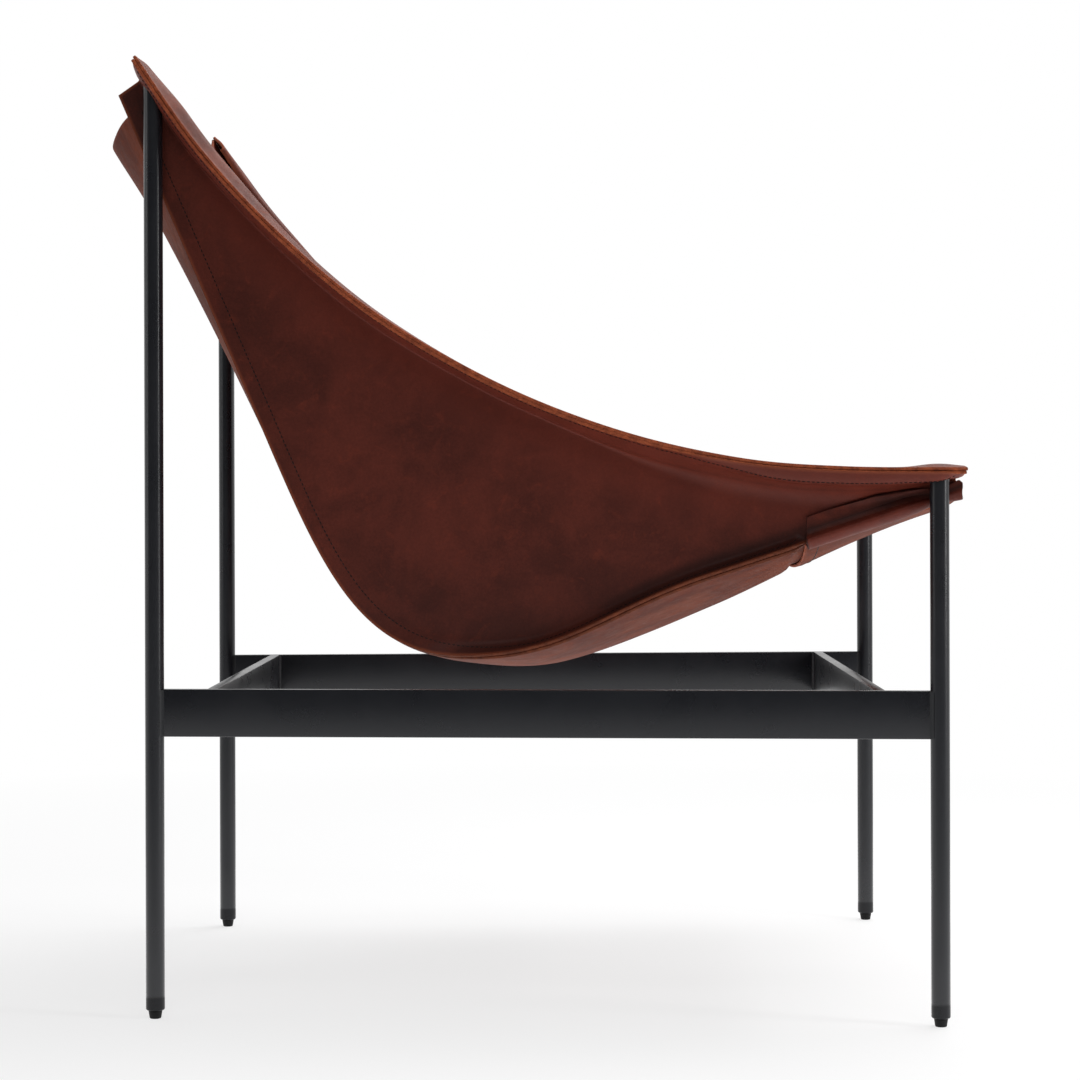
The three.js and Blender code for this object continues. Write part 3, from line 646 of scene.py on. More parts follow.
def settle(piece, sharp=40.0):
    """Merges and closes a mesh, turns its faces outward, and shades it smooth up to a sharp angle."""
    work = bmesh.new()
    work.from_mesh(piece.data)
    bmesh.ops.remove_doubles(work, verts=work.verts, dist=1e-7)
    bmesh.ops.recalc_face_normals(work, faces=work.faces)
    for face in work.faces:
        face.smooth = True
    for edge in work.edges:
        edge.smooth = edge.calc_face_angle(0.0) < math.radians(sharp)
    work.to_mesh(piece.data)
    work.free()
    return piece


def new_object(name, data):
    made = bpy.data.objects.new(name, data)
    bpy.context.collection.objects.link(made)
    return made


def new_piece(name, points, faces, *materials, edges=()):
    mesh = bpy.data.meshes.new(name)
    mesh.from_pydata(points.tolist(), edges, faces)
    for material in materials:
        mesh.materials.append(material)
    return new_object(name, mesh)


def applied(piece):
    """Puts the result of a piece's modifiers into its own mesh."""
    depsgraph = bpy.context.evaluated_depsgraph_get()
    mesh = bpy.data.meshes.new_from_object(piece.evaluated_get(depsgraph))
    mesh.name = piece.name
    piece.modifiers.clear()
    piece.data = mesh
    return piece


def with_close_borders(grid, distance=1.3):
    """Adds a row or column of points just inside each border, so that the rounded cut edge stays crisp."""
    def inside(border, after):
        gap = np.linalg.norm(after - border, axis=-1, keepdims=True)
        return toward(border, after, np.minimum(distance, gap * 0.5))[None]

    for axis in (0, 1):
        rows = np.moveaxis(grid, axis, 0)
        rows = [rows[:1], inside(rows[0], rows[1]), rows[1:-1], inside(rows[-1], rows[-2]), rows[-1:]]
        grid = np.moveaxis(np.concatenate(rows), 0, axis)
    return grid


def from_border(grid):
    """How far each point of a sheet lies from its nearest cut edge."""
    ways = []
    for axis in (0, 1):
        steps = np.linalg.norm(np.diff(grid, axis=axis), axis=-1)
        zero = np.zeros_like(np.take(steps, [0], axis=axis))
        travelled = np.concatenate([zero, np.cumsum(steps, axis=axis)], axis=axis)
        ways += [travelled, np.take(travelled, [-1], axis=axis) - travelled]
    return np.minimum.reduce(ways)


def leather_sheet(name, grid, skin, cut, light_shade_values=None, worn=True, sewn=None):
    """A closed sheet of leather round a grid of middle points, with its cut edge rounded.
    Each column or point has a value of painted light and shade: above zero a lighter tone is painted as light,
    below zero a dark tone is painted as shade in a fold. Worn sheets have a worn tone near their cut edge. The edge
    of the first column can have a material for a sewn edge."""
    grid = with_close_borders(grid)
    rows, cols = grid.shape[:2]
    normal = unit(np.cross(np.gradient(grid, axis=0), np.gradient(grid, axis=1)))
    inset = grid.copy()
    inset[0] += CUT_ROUND * unit(grid[1] - grid[0])
    inset[-1] += CUT_ROUND * unit(grid[-2] - grid[-1])
    inset[:, 0] += CUT_ROUND * unit(grid[:, 1] - grid[:, 0])
    inset[:, -1] += CUT_ROUND * unit(grid[:, -2] - grid[:, -1])
    index = np.arange(rows * cols).reshape(rows, cols)
    loop = np.concatenate([index[0], index[1:, -1], index[-1, -2::-1], index[-2:0:-1, 0]])
    rim, rim_normal = grid.reshape(-1, 3)[loop], normal.reshape(-1, 3)[loop]
    half = LEATHER / 2
    points = np.concatenate([
        (inset + normal * half).reshape(-1, 3),
        (inset - normal * half).reshape(-1, 3),
        rim + rim_normal * (half - CUT_ROUND),
        rim - rim_normal * (half - CUT_ROUND),
    ])
    upper = np.stack([index[:-1, :-1], index[1:, :-1], index[1:, 1:], index[:-1, 1:]], axis=-1).reshape(-1, 4)
    lower = upper[:, ::-1] + rows * cols
    rings = [loop, 2 * rows * cols + np.arange(len(loop))]
    rings += [rings[1] + len(loop), loop + rows * cols]
    edges = [np.stack([np.roll(a, -1), a, b, np.roll(b, -1)], axis=-1) for a, b in zip(rings, rings[1:])]
    faces = np.concatenate([upper, lower, *edges])
    piece = new_piece(name, metres(points), faces.tolist(), skin, cut, sewn or cut)
    slots = np.zeros(len(faces), dtype=np.int32)
    slots[len(upper) + len(lower):] = np.tile(np.where(np.arange(len(loop)) < 2 * cols + rows - 3, 1, 2), 3)
    piece.data.polygons.foreach_set("material_index", slots)
    away = from_border(grid).ravel() + (0.0 if worn else 100.0)
    looks = {"from_cut": np.concatenate([away, away, np.zeros(2 * len(loop))]) * 0.001}
    if light_shade_values is not None:
        wear_and_painted_light_shade = np.broadcast_to(np.pad(light_shade_values, 1, mode="edge"), (rows, cols)).ravel()
        looks["painted_light_shade"] = np.concatenate([wear_and_painted_light_shade, wear_and_painted_light_shade, wear_and_painted_light_shade[loop], wear_and_painted_light_shade[loop]])
    for label, values in looks.items():
        piece.data.attributes.new(label, "FLOAT", "POINT").data.foreach_set("value", values)
    return settle(piece, 60.0)


def turned_piece(name, profile, spot, material, segments=64, slope=0.0, slope_from=0.0):
    """A piece turned round an upright axis at spot, from (radius, height) pairs.
    Rings above slope_from lie on a slope that falls toward the front."""
    angles = np.linspace(0.0, 2.0 * math.pi, segments, endpoint=False)
    points, rings = [], []
    for radius, height in profile:
        count = 1 if radius == 0 else segments
        rings.append(len(points) + np.arange(count))
        fall = slope * radius if height > slope_from else 0.0
        points += [(spot[0] + radius * math.cos(a), spot[1] + radius * math.sin(a), height - fall * math.cos(a))
                   for a in angles[:count]]
    faces = []
    for a, b in zip(rings, rings[1:]):
        for k in range(segments):
            corners = [a[k % len(a)], a[(k + 1) % len(a)], b[(k + 1) % len(b)], b[k % len(b)]]
            faces.append(list(dict.fromkeys(int(c) for c in corners)))
    return settle(new_piece(name, metres(points), faces, material), 35.0)


def rail(name, outline, material):
    """A flat bar on edge from its outline seen from above, with softened edges."""
    levels = (RAIL_TOP - RAIL_HEIGHT, RAIL_TOP)
    points = [(x, y, z) for z in levels for x, y in outline]
    faces = [[0, 3, 2, 1], [4, 5, 6, 7]] + [[k, (k + 1) % 4, (k + 1) % 4 + 4, k + 4] for k in range(4)]
    piece = new_piece(name, metres(points), faces, material)
    soften = piece.modifiers.new("soft_edge", "BEVEL")
    soften.width = RAIL_EDGE * 0.001
    soften.segments = 3
    return settle(applied(piece), 50.0)


def weld_beads(name, corners, material):
    """Upright concave weld beads: each has a corner, the two ways that its walls run, and its heights."""
    points, faces = [], []
    angles = np.linspace(0.0, math.pi / 2, 7)
    for corner, first, second, heights in corners:
        first, second = unit(np.array([first, second], dtype=float))
        hollow = corner + WELD_RADIUS * (first + second)
        outline = [corner - WELD_ROOT * (first + second)]
        outline += [hollow - WELD_RADIUS * (first * math.cos(a) + second * math.sin(a)) for a in angles[::-1]]
        start, count = len(points), len(outline)
        points += [(*p, z) for z in heights for p in outline]
        faces.append([start + k for k in range(count)])
        faces.append([start + count + k for k in reversed(range(count))])
        faces += [[start + k, start + (k + 1) % count, start + count + (k + 1) % count, start + count + k]
                  for k in range(count)]
    return settle(new_piece(name, metres(points), faces, material), 40.0)


# Materials

def linear(code):
    """An sRGB hex colour as linear RGBA."""
    values = [int(code[k:k + 2], 16) / 255.0 for k in (1, 3, 5)]
    return [v / 12.92 if v <= 0.04045 else ((v + 0.055) / 1.055) ** 2.4 for v in values] + [1.0]


def add_node(tree, kind, inputs=None, **settings):
    """Adds a node with its settings, and fills or links its inputs by name or number.
    A node given as an input stands for its first output."""
    made = tree.nodes.new(kind)
    for key, value in settings.items():
        setattr(made, key, value)
    for key, value in (inputs or {}).items():
        if isinstance(value, bpy.types.Node):
            value = value.outputs[0]
        if isinstance(value, bpy.types.NodeSocket):
            tree.links.new(value, made.inputs[key])
        else:
            made.inputs[key].default_value = value
    return made


def new_material(name):
    """An empty material, its tree, and the places on the object that its patterns follow."""
    material = bpy.data.materials.new(name)
    material.use_nodes = True
    tree = material.node_tree
    tree.nodes.clear()
    return material, tree, add_node(tree, "ShaderNodeTexCoord").outputs["Object"]


def with_surface(material, inputs):
    tree = material.node_tree
    surface = add_node(tree, "ShaderNodeBsdfPrincipled", inputs)
    add_node(tree, "ShaderNodeOutputMaterial", {"Surface": surface})
    return material


def per_mm(size):
    """Pattern scale, in turns per metre, of a pattern whose marks are this many millimetres apart."""
    return 1000.0 / size


def noise(tree, spot, size, detail, rough=0.5, twist=0.0):
    """Cloudy noise with marks of a size in millimetres."""
    return add_node(tree, "ShaderNodeTexNoise", {
        "Vector": spot, "Scale": per_mm(size), "Detail": detail, "Roughness": rough, "Distortion": twist})


def ranged(tree, value, low, high, least=0.0, most=1.0, kind="LINEAR"):
    """A value taken from the range low to high into the range least to most."""
    return add_node(tree, "ShaderNodeMapRange", {
        "Value": value, "From Min": low, "From Max": high, "To Min": least, "To Max": most},
        interpolation_type=kind)


def blended(tree, factor, first, second):
    """Two colours mixed by a factor: each is a link or an sRGB hex code. A mix node keeps its colours in
    inputs 6 and 7 and output 2."""
    first, second = (linear(colour) if isinstance(colour, str) else colour for colour in (first, second))
    return add_node(tree, "ShaderNodeMix", {"Factor": factor, 6: first, 7: second}, data_type="RGBA").outputs[2]


def relief(tree, height, strength, depth, under=None):
    """Bumps of a depth in metres, laid over other bumps where those are given."""
    inputs = {"Height": height, "Strength": strength, "Distance": depth}
    return add_node(tree, "ShaderNodeBump", inputs if under is None else {**inputs, "Normal": under})


def bridle_leather(name, dark, middle, warm, wear_and_painted_light_shade, painted_light_shade, gloss_level, wax):
    """Vegetable-tanned bridle leather with a wax-finished face: dark clouds and small redder blotches in the dye,
    a fine pebbled grain, faint long creases, a soft gloss, a worn tone near the cut edges, a lighter redder tone
    painted as light where the leather is lit, and a dark tone painted as shade in its folds and corners."""
    material, tree, spot = new_material(name)
    clouds = noise(tree, spot, 75.0, 5.0, 0.62, 0.5)
    blotches = noise(tree, spot, 17.0, 6.0, 0.7, 0.9)
    specks = noise(tree, spot, 2.4, 3.0, 0.65)
    stretched = add_node(tree, "ShaderNodeMapping", {
        "Vector": spot, "Scale": (1.0, 1.0, 0.22), "Rotation": (0.3, 0.35, 0.0)})
    streaks = noise(tree, stretched, 14.0, 4.0, 0.6)
    pebbles = add_node(tree, "ShaderNodeTexVoronoi", {
        "Vector": spot, "Scale": per_mm(1.5), "Randomness": 0.9}, feature="SMOOTH_F1")
    from_cut, light_shade_amount = (add_node(tree, "ShaderNodeAttribute", attribute_name=label).outputs["Fac"]
                         for label in ("from_cut", "painted_light_shade"))
    colour = blended(tree, ranged(tree, clouds, 0.36, 0.66, kind="SMOOTHSTEP"), dark, middle)
    colour = blended(tree, ranged(tree, blotches, 0.52, 0.74, 0.0, 0.55, "SMOOTHSTEP"), colour, warm)
    colour = blended(tree, ranged(tree, streaks, 0.55, 0.78, 0.0, 0.35), colour, dark)
    colour = add_node(tree, "ShaderNodeVectorMath", {
        0: colour, "Scale": ranged(tree, specks, 0.3, 0.7, 0.86, 1.14)}, operation="SCALE")
    # Painted light and shade: a lighter redder tone where the value is above zero, and a dark tone where it is
    # below zero
    colour = blended(tree, ranged(tree, light_shade_amount, 0.0, 1.0, 0.0, 0.42), colour, painted_light_shade)
    colour = blended(tree, ranged(tree, light_shade_amount, -1.0, 0.0, 0.7, 0.0), colour, PAINTED_SHADE_TONE)
    colour = blended(tree, ranged(tree, from_cut, 0.0, RUBBED_EDGE * 0.001, 0.8, 0.0), colour, wear_and_painted_light_shade)
    creases = relief(tree, streaks, 0.25, 0.0012)
    grain = relief(tree, pebbles, 0.35, 0.0003, creases)
    pores = relief(tree, specks, 0.2, 0.0004, grain)
    return with_surface(material, {
        "Base Color": colour, "Roughness": ranged(tree, blotches, 0.3, 0.7, 0.5, 0.66), "Normal": pores,
        "IOR": 1.48, "Specular IOR Level": gloss_level,
        "Coat Weight": wax, "Coat Roughness": 0.35, "Coat IOR": 1.45})


def cut_leather(name, light, dark):
    """The cut edge of vegetable-tanned leather: orange-brown fibre in fine layers, dry, with darker nicks."""
    material, tree, spot = new_material(name)
    fibres, nicks = noise(tree, spot, 0.9, 3.0, 0.7), noise(tree, spot, 9.0, 5.0, 0.75)
    return with_surface(material, {
        "Base Color": blended(tree, ranged(tree, nicks, 0.36, 0.68), dark, light), "Roughness": 0.72,
        "Normal": relief(tree, fibres, 0.5, 0.0004), "Specular IOR Level": 0.15})


def powder_coat(name, tone, shade, roughness):
    """Powder-coated steel, satin: near black with a cool cast, and the faint peel of a sprayed and baked film."""
    material, tree, spot = new_material(name)
    # Real peel is about 0.5 mm; it is drawn at 1.1 mm so that it shows
    peel, haze = noise(tree, spot, 1.1, 2.0), noise(tree, spot, 60.0, 4.0, 0.6)
    return with_surface(material, {
        "Base Color": blended(tree, haze, shade, tone),
        "Roughness": ranged(tree, haze, 0.3, 0.7, roughness - 0.04, roughness + 0.05),
        "Normal": relief(tree, peel, 0.12, 0.0002), "IOR": 1.5, "Specular IOR Level": 0.35})


def moulded_plastic(name, tone, shade, roughness):
    """Moulded plastic: black with a fine matt texture from the tool and slight scuffing."""
    material, tree, spot = new_material(name)
    texture, scuffs = noise(tree, spot, 0.6, 2.0, 0.6), noise(tree, spot, 5.0, 5.0, 0.7)
    return with_surface(material, {
        "Base Color": blended(tree, scuffs, shade, tone), "Roughness": roughness,
        "Normal": relief(tree, texture, 0.3, 0.0002), "IOR": 1.5, "Specular IOR Level": 0.25})


def plated_steel(name, bright, dull):
    """Zinc-plated steel, turned: grey metal with fine rings left by the lathe."""
    material, tree, spot = new_material(name)
    rings = add_node(tree, "ShaderNodeTexWave", {
        "Vector": spot, "Scale": per_mm(1.0) / (2.0 * math.pi), "Distortion": 0.4, "Detail": 2.0},
        bands_direction="Z").outputs["Fac"]
    return with_surface(material, {
        "Base Color": blended(tree, rings, dull, bright), "Metallic": 1.0, "Roughness": 0.35,
        "Normal": relief(tree, rings, 0.3, 0.0002)})


def waxed_thread(name, tone, shade):
    """Waxed polyester thread: dark brown, with the twist of its plies across each stitch."""
    material, tree, spot = new_material(name)
    plies = noise(tree, spot, 0.5, 1.0)
    return with_surface(material, {
        "Base Color": blended(tree, plies, shade, tone), "Roughness": 0.6,
        "Normal": relief(tree, plies, 0.5, 0.0002), "Specular IOR Level": 0.15})


# Copies of one bridle leather: the copies for the lip facings and the centre panel are painted lighter, as light,
# since the facings' tops and the belly are lit more than the side panels
side_leather = bridle_leather("bridle_leather_waxed_dark", "#3f1810", "#502016", "#602618", "#7c3e26",
                              "#6e2d20", 0.13, 0.08)
lip_leather = bridle_leather("bridle_leather_waxed_lip", "#4e2216", "#68301f", "#7a3b28", "#7c3e26",
                             "#6e2d20", 0.1, 0.05)
centre_leather = bridle_leather("bridle_leather_waxed_brown", "#4c2014", "#63301f", "#743823", "#6c331f",
                                "#743823", 0.02, 0.0)
cut_edge = cut_leather("bridle_leather_cut_edge", "#9e5030", "#6a311d")
sewn_edge = cut_leather("bridle_leather_sewn_edge", "#67341f", "#452013")
dyed_edge = cut_leather("bridle_leather_dyed_edge", "#44201a", "#2a120e")
frame_coat = powder_coat("steel_powder_coated_satin", "#191a1e", "#131418", 0.29)
weld_coat = powder_coat("weld_powder_coated_satin", "#1c1d20", "#141518", 0.5)
glide_plastic = moulded_plastic("polyethylene_moulded_black", "#141415", "#0c0c0d", 0.55)
cap_plastic = moulded_plastic("nylon_moulded_black", "#161617", "#0e0e0f", 0.5)
insert_steel = plated_steel("steel_zinc_plated_turned", "#b4b6ba", "#85878c")
thread = waxed_thread("polyester_thread_waxed", "#1c0d09", "#0e0604")


# Frame pieces

def post_spots():
    ends = (("rear", -WHEELBASE / 2, REAR_POST_TOP, REAR_TIP_SLOPE), ("front", WHEELBASE / 2, FRONT_POST_TOP, 0.0))
    for end, x, top, slope in ends:
        for side_name, side in SIDES.items():
            yield f"{end}_{side_name}", (x, side * half_span(x)), top, slope


def put_steel(piece, node):
    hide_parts(node)
    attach(piece, "frame")


def put_posts():
    inner = POST_RADIUS - POST_WALL
    for corner, spot, top, slope in post_spots():
        profile = [(inner, POST_FOOT)]
        profile += [(POST_RADIUS - inset, POST_FOOT + above) for inset, above in POST_FOOT_ROUND]
        profile += [(POST_RADIUS, top - POST_TOP_EDGE), (POST_RADIUS - POST_TOP_EDGE, top), (inner, top)]
        profile.append(profile[0])
        post = turned_piece(f"{corner}_tube", profile, spot, frame_coat, slope=slope, slope_from=top - 1.0)
        put_steel(post, f"{corner}_post")
        glide = turned_piece(f"{corner}_foot", GLIDE_PROFILE, spot, glide_plastic)
        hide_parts(f"{corner}_glide")
        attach(glide, f"{corner}_glide")
        for node, material in ((f"{corner}_post_cap", cap_plastic), (f"{corner}_threaded_insert", insert_steel)):
            solid = bpy.data.objects[node]
            solid.data.materials.clear()
            solid.data.materials.append(material)


def put_rails():
    half = RAIL_THICKNESS / 2
    beads = []
    heights = (RAIL_TOP - RAIL_HEIGHT + RAIL_EDGE, RAIL_TOP - RAIL_EDGE)
    splay = math.atan2((FRONT_SPAN - REAR_SPAN) / 2, WHEELBASE)
    for side_name, side in SIDES.items():
        rear = np.array([-WHEELBASE / 2, side * REAR_SPAN / 2])
        front = np.array([WHEELBASE / 2, side * FRONT_SPAN / 2])
        along = unit(front - rear)
        across = np.array([-along[1], along[0]])
        reach = POST_RADIUS - WELD_SINK
        start, end, aside = rear + along * reach, front - along * reach, across * half
        outline = [start - aside, end - aside, end + aside, start + aside]
        bar = rail(f"{side_name}_side_bar", outline, frame_coat)
        put_steel(bar, f"{side_name}_side_rail")
        meet = math.sqrt(POST_RADIUS ** 2 - half ** 2)
        for post, way in ((rear, along), (front, -along)):
            for face in (across, -across):
                corner = post + way * meet + face * half
                round_way = unit(face * meet - way * half)
                beads.append((corner, way, round_way, heights))
    for end, x in (("rear", -WHEELBASE / 2 + CROSS_RAIL_INSET), ("front", WHEELBASE / 2 - CROSS_RAIL_INSET)):
        reach = [half_span(at) - half / math.cos(splay) for at in (x - half, x + half)]
        rear, front = (far + CROSS_RAIL_SINK for far in reach)
        outline = [(x - half, -rear), (x + half, -front), (x + half, front), (x - half, rear)]
        bar = rail(f"{end}_cross_bar", outline, frame_coat)
        put_steel(bar, f"{end}_cross_rail")
        for side in SIDES.values():
            wall = np.array([math.cos(splay), side * math.sin(splay)])
            for sign, at, far in ((-1.0, x - half, reach[0]), (1.0, x + half, reach[1])):
                beads.append(((at, side * far), (0.0, -side), wall * sign, heights))
    welds = weld_beads("weld_beads", beads, weld_coat)
    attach(welds, "frame")


# Sling pieces

def cut_post_holes(panel, side):
    """Cuts the holes that the post tips pass through in the turned-out strip of a side panel."""
    for x, top in ((-WHEELBASE / 2, REAR_POST_TOP), (WHEELBASE / 2, FRONT_POST_TOP)):
        ends = (top - PUNCH_REACH, top + PUNCH_REACH)
        profile = [(0, ends[0]), (POST_HOLE, ends[0]), (POST_HOLE, ends[1]), (0, ends[1])]
        punch = turned_piece("post_punch", profile, (x, side * half_span(x)), side_leather)
        punch.data.materials.append(cut_edge)
        punch.data.polygons.foreach_set("material_index", np.ones(len(punch.data.polygons), dtype=np.int32))
        hole = panel.modifiers.new("post_hole", "BOOLEAN")
        hole.operation = "DIFFERENCE"
        hole.solver = "MANIFOLD"
        hole.object = punch
        applied(panel)
        bpy.data.objects.remove(punch)
    return settle(panel, 60.0)


def panel_painted_light_shade(grid):
    """Painted light: a lighter tone on the strip of a side panel, which faces the lit floor, and on the leather
    just below it, where the lip's shadow falls. Painted shade: a dark tone at the panel's foot, in the turn of its
    sewn margin and behind the rear posts."""
    x, height = grid[..., 0], grid[..., 2] - grid[..., 2].min()
    strip = smooth(*PAINTED_LIGHT_STRIP, np.arange(grid.shape[1]))
    below = np.linalg.norm(grid - grid[:, PANEL_TURN:PANEL_TURN + 1], axis=-1)
    wear_and_painted_light_shade = np.exp(-(below / PAINTED_LIGHT_BELOW_STRIP) ** 2) * smooth(*PAINTED_LIGHT_START, x)
    wear_and_painted_light_shade[:, PANEL_TURN:] = 0.0
    foot = PAINTED_FOOT_SHADE * (1.0 - smooth(*PAINTED_FOOT_SHADE_FADE, height))
    above = np.linalg.norm(grid - grid[:, MARGIN_STEPS:MARGIN_STEPS + 1], axis=-1)
    above[:, :MARGIN_STEPS] = 0.0
    turn = np.exp(-(above / PAINTED_TURN_SHADE_WIDTH) ** 2) * smooth(*PAINTED_TURN_SHADE_START, x)
    corner = PAINTED_CORNER_SHADE * (1.0 - smooth(*PAINTED_CORNER_SHADE_END, x)) * (1.0 - strip)
    return np.maximum(strip, wear_and_painted_light_shade) - np.maximum.reduce([foot, turn, corner])


def put_leather(piece, nodes):
    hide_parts(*nodes)
    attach(piece, "sling")


def put_sling():
    for side_name, side in SIDES.items():
        crown = CROWN_SHARES[side_name]
        grid = place(side, side_panel_rows(crown))
        panel = leather_sheet(f"{side_name}_side_leather", grid, side_leather, cut_edge, panel_painted_light_shade(grid),
                              sewn=sewn_edge)
        cut_post_holes(panel, side)
        facing = leather_sheet(f"{side_name}_lip_leather", facing_grid(side, crown), lip_leather, cut_edge)
        grid = patch_grid(side)
        down = np.arange(grid.shape[1])
        # On the patch: a dark tone painted as shade in the groove above its fold, and a lighter tone painted as
        # light on its roll
        groove_shade_place = (down - PATCH_PAINTED_SHADE[0]) / PATCH_PAINTED_SHADE[1]
        light_shade_values = PATCH_PAINTED_LIGHT * smooth(*PATCH_PAINTED_LIGHT_START, down) - np.exp(-groove_shade_place ** 2)
        patch = leather_sheet(f"{side_name}_corner_leather", grid, side_leather, dyed_edge, light_shade_values, worn=False)
        put_leather(panel, [f"{side_name}_side_panel"])
        put_leather(facing, [f"{side_name}_lip_facing"])
        put_leather(patch, [f"{side_name}_corner_patch"])
    centre = leather_sheet("centre_leather", centre_panel_grid(), centre_leather, sewn_edge)
    put_leather(centre, ["centre_panel"])
    hem = leather_sheet("front_hem_leather", hem_grid(), centre_leather, cut_edge)
    put_leather(hem, ["front_hem"])


def stitch_tree():
    """Stitches laid end to end along the edges of a mesh of sewing lines."""
    tree = bpy.data.node_groups.new("saddle_stitch", "GeometryNodeTree")
    for label, kind in (("Lines", "NodeSocketGeometry"), ("Pitch", "NodeSocketFloat"),
                        ("Stitch Length", "NodeSocketFloat"), ("Thread Thickness", "NodeSocketFloat"),
                        ("Thread", "NodeSocketMaterial")):
        tree.interface.new_socket(label, in_out="INPUT", socket_type=kind)
    tree.interface.new_socket("Stitches", in_out="OUTPUT", socket_type="NodeSocketGeometry")
    given = add_node(tree, "NodeGroupInput").outputs
    curve = add_node(tree, "GeometryNodeMeshToCurve", {"Mesh": given["Lines"]})
    spaced = add_node(tree, "GeometryNodeResampleCurve", {"Curve": curve, "Length": given["Pitch"]}, mode="LENGTH")
    tangent = add_node(tree, "GeometryNodeInputTangent")
    turn = add_node(tree, "FunctionNodeAlignRotationToVector", {"Vector": tangent}, axis="X")
    grain = add_node(tree, "GeometryNodeMeshUVSphere", {"Segments": 8, "Rings": 6, "Radius": 0.5})
    size = add_node(tree, "ShaderNodeCombineXYZ", {
        "X": given["Stitch Length"], "Y": given["Thread Thickness"], "Z": given["Thread Thickness"]})
    stitch = add_node(tree, "GeometryNodeTransform", {"Geometry": grain, "Scale": size})
    laid = add_node(tree, "GeometryNodeInstanceOnPoints", {"Points": spaced, "Instance": stitch, "Rotation": turn})
    real = add_node(tree, "GeometryNodeRealizeInstances", {"Geometry": laid})
    soft = add_node(tree, "GeometryNodeSetShadeSmooth", {"Geometry": real})
    dyed = add_node(tree, "GeometryNodeSetMaterial", {"Geometry": soft, "Material": given["Thread"]})
    add_node(tree, "NodeGroupOutput", {"Stitches": dyed})
    return tree


def sewing_lines():
    """Lines of stitches: on both faces of each side seam, across the band under the front, and under each lip."""
    lines = []
    start, end = (inset / SEAM_LENGTH for inset in SEAM_STITCH_ENDS)
    share = np.linspace(CENTRE_START + start, HEM_START - end, SEAM_STITCH_POINTS)
    seam = seam_at(share)
    narrow = seam["margin"][:, 0] * STITCH_IN_NARROW[0] + STITCH_IN_NARROW[1]
    inward = np.minimum(mix(STITCH_IN, STITCH_IN_TURNED, smooth(TURN_START, TURN_END, share)), narrow)
    row = seam["raw"] - seam["margin_way"] * column(inward)
    for side in SIDES.values():
        lines.append(place(side, row - seam["layer_way"] * (LEATHER / 2)))
        lines.append(place(side, row + seam["layer_way"] * (LAYER_STEP + LEATHER / 2)))
    ways = np.linspace(HEM_STITCH_START, 1.0, HEM_STITCH_POINTS)
    sewn = np.array(HEM_START + HEM_STITCH_IN / SEAM_LENGTH)
    normal = on_line(SEAM, sewn)[2]
    deep = HEM_LAYER + (HEM_ROLL - HEM_LAYER) * HEM_STITCH_IN / HEM_DEPTH + LEATHER / 2
    for above in (-deep, LEATHER / 2):
        halves = ([centre_point(side, sewn, way) + normal * above for way in ways] for side in SIDES.values())
        lines.append(np.stack(across_chair(*halves)))
    for side_name, side in SIDES.items():
        grid = place(side, side_panel_rows(CROWN_SHARES[side_name]))
        normal = unit(np.cross(np.gradient(grid, axis=0), np.gradient(grid, axis=1)))
        under = grid - normal * np.sign(normal[..., 2:]) * (LEATHER / 2)
        lines.append(under[LIP_STITCH_ROWS:-LIP_STITCH_ROWS, LIP_STITCH_COLUMN])
    return lines


def put_stitches():
    points, edges = [], []
    for line in sewing_lines():
        edges += [(len(points) + k, len(points) + k + 1) for k in range(len(line) - 1)]
        points += line.tolist()
    stitches = new_piece("sling_stitches", metres(points), [], edges=edges)
    tree = stitch_tree()
    sewing = stitches.modifiers.new("sewing", "NODES")
    sewing.node_group = tree
    values = {"Pitch": STITCH_PITCH * 0.001, "Stitch Length": STITCH_LENGTH * 0.001,
              "Thread Thickness": THREAD * 0.001, "Thread": thread}
    for item in tree.interface.items_tree:
        if item.in_out == "INPUT" and item.name in values:
            sewing[item.identifier] = values[item.name]
    applied(stitches)
    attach(stitches, "sling")


put_posts()
put_rails()
put_sling()
put_stitches()


# Studio

def worked(tree, operation, first, second):
    return add_node(tree, "ShaderNodeMath", {0: first, 1: second}, operation=operation)


def seen_plain(tree, mirrored):
    """How plainly a ray sees the white studio: fully from the camera, and by a given share in a mirror."""
    ray = add_node(tree, "ShaderNodeLightPath").outputs
    direct = worked(tree, "MAXIMUM", ray["Is Camera Ray"], ray["Is Transmission Ray"])
    return worked(tree, "MAXIMUM", direct, worked(tree, "MULTIPLY", ray["Is Glossy Ray"], mirrored))


def put_floor():
    """A pale floor that reads as white to the camera and keeps the chair's shadow near it."""
    material, tree, spot = new_material("studio_paper")
    away = add_node(tree, "ShaderNodeVectorMath", {0: spot}, operation="LENGTH").outputs["Value"]
    shadow = ranged(tree, away, *SHADOW_FADE, 0.7, 1.0)
    # The floor that the camera stands on is not in the picture, so the chair mirrors it as plain paper
    depth = add_node(tree, "ShaderNodeSeparateXYZ", {"Vector": spot}).outputs["Y"]
    share = worked(tree, "MULTIPLY", seen_plain(tree, ranged(tree, depth, *PAPER_FADE)), shadow)
    paper = add_node(tree, "ShaderNodeBsdfDiffuse", {"Color": (0.86, 0.86, 0.86, 1.0)})
    white = add_node(tree, "ShaderNodeEmission", {"Color": (1.0, 1.0, 1.0, 1.0), "Strength": 1.0})
    both = add_node(tree, "ShaderNodeMixShader", {0: share, 1: paper, 2: white})
    add_node(tree, "ShaderNodeOutputMaterial", {"Surface": both})
    corners = FLOOR * np.array([(-1, -1, 0), (1, -1, 0), (1, 1, 0), (-1, 1, 0)])
    floor = new_piece("studio_floor", corners, [(0, 1, 2, 3)], material)


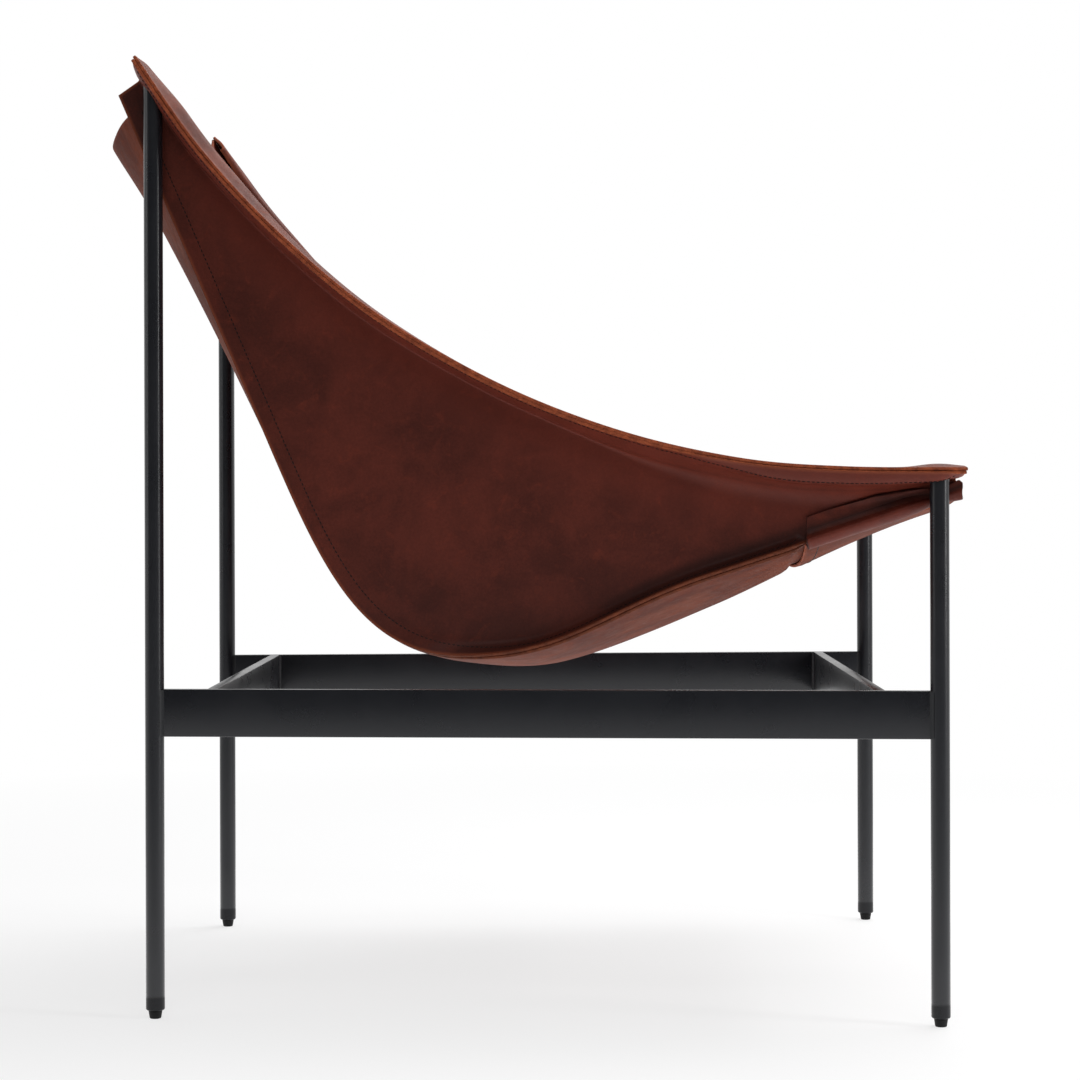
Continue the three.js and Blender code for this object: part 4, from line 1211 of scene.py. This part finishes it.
def put_world():
    world = bpy.data.worlds.new("studio")
    bpy.context.scene.world = world
    world.use_nodes = True
    tree = world.node_tree
    tree.nodes.clear()
    # The backdrop side and the ceiling are bright, and the side that the camera stands on is dim
    way = add_node(tree, "ShaderNodeTexCoord").outputs["Generated"]
    depth = add_node(tree, "ShaderNodeSeparateXYZ", {"Vector": way}).outputs["Y"]
    rear = ranged(tree, depth, *BACKDROP_FADE, kind="SMOOTHSTEP")
    fill = add_node(tree, "ShaderNodeBackground", {
        "Color": (0.97, 0.98, 1.0, 1.0), "Strength": ranged(tree, rear, 0.0, 1.0, *STUDIO_LEVELS)})
    white = add_node(tree, "ShaderNodeBackground", {"Color": (1.0, 1.0, 1.0, 1.0), "Strength": 1.0})
    both = add_node(tree, "ShaderNodeMixShader", {0: seen_plain(tree, rear), 1: fill, 2: white})
    add_node(tree, "ShaderNodeOutputWorld", {"Surface": both})


def put_lamp(name, spot, size, power, target=CHAIR_MIDDLE):
    lamp = bpy.data.lights.new(name, "AREA")
    lamp.shape = "RECTANGLE"
    lamp.size, lamp.size_y = size
    lamp.energy = power
    holder = new_object(name, lamp)
    holder.location = spot
    holder.rotation_euler = (Vector(target) - Vector(spot)).to_track_quat("-Z", "Y").to_euler()
    holder.visible_camera = False


def put_camera():
    """The photograph's view: level from the right-hand side, with the picture shifted a little upward."""
    camera = bpy.data.cameras.new("side_view")
    camera.sensor_width = SENSOR
    camera.lens = FOCAL_PIXELS / PHOTO_PIXELS * SENSOR
    camera.shift_y = SHIFT_PIXELS / PHOTO_PIXELS
    camera.clip_end = 200.0
    holder = new_object("side_view", camera)
    turns = ((CAMERA_YAW, "Z"), (90.0, "X"), (CAMERA_ROLL, "Z"))
    yaw, level, roll = (Matrix.Rotation(math.radians(angle), 4, axis) for angle, axis in turns)
    x, y, z = CAMERA_SPOT
    holder.matrix_world = Matrix.Translation((x + MIDDLE, y, z)) @ yaw @ level @ roll
    bpy.context.scene.camera = holder


put_floor()
put_world()
put_lamp("top_light", (0.9, 0.7, 2.7), (2.4, 1.8), 78.0)
put_lamp("high_light", (0.3, -2.4, 2.7), (2.4, 0.8), 24.0)
put_lamp("right_light", (2.6, -1.1, 1.2), (0.44, 1.8), 34.0)
put_lamp("left_light", (-2.7, -0.7, 1.2), (0.5, 1.8), 8.0)
put_lamp("under_light", (0.0, -0.1, 0.02), (2.2, 1.6), 9.0, target=(0.0, -0.1, 1.0))
put_camera()
bpy.context.scene.view_settings.view_transform = "Standard"
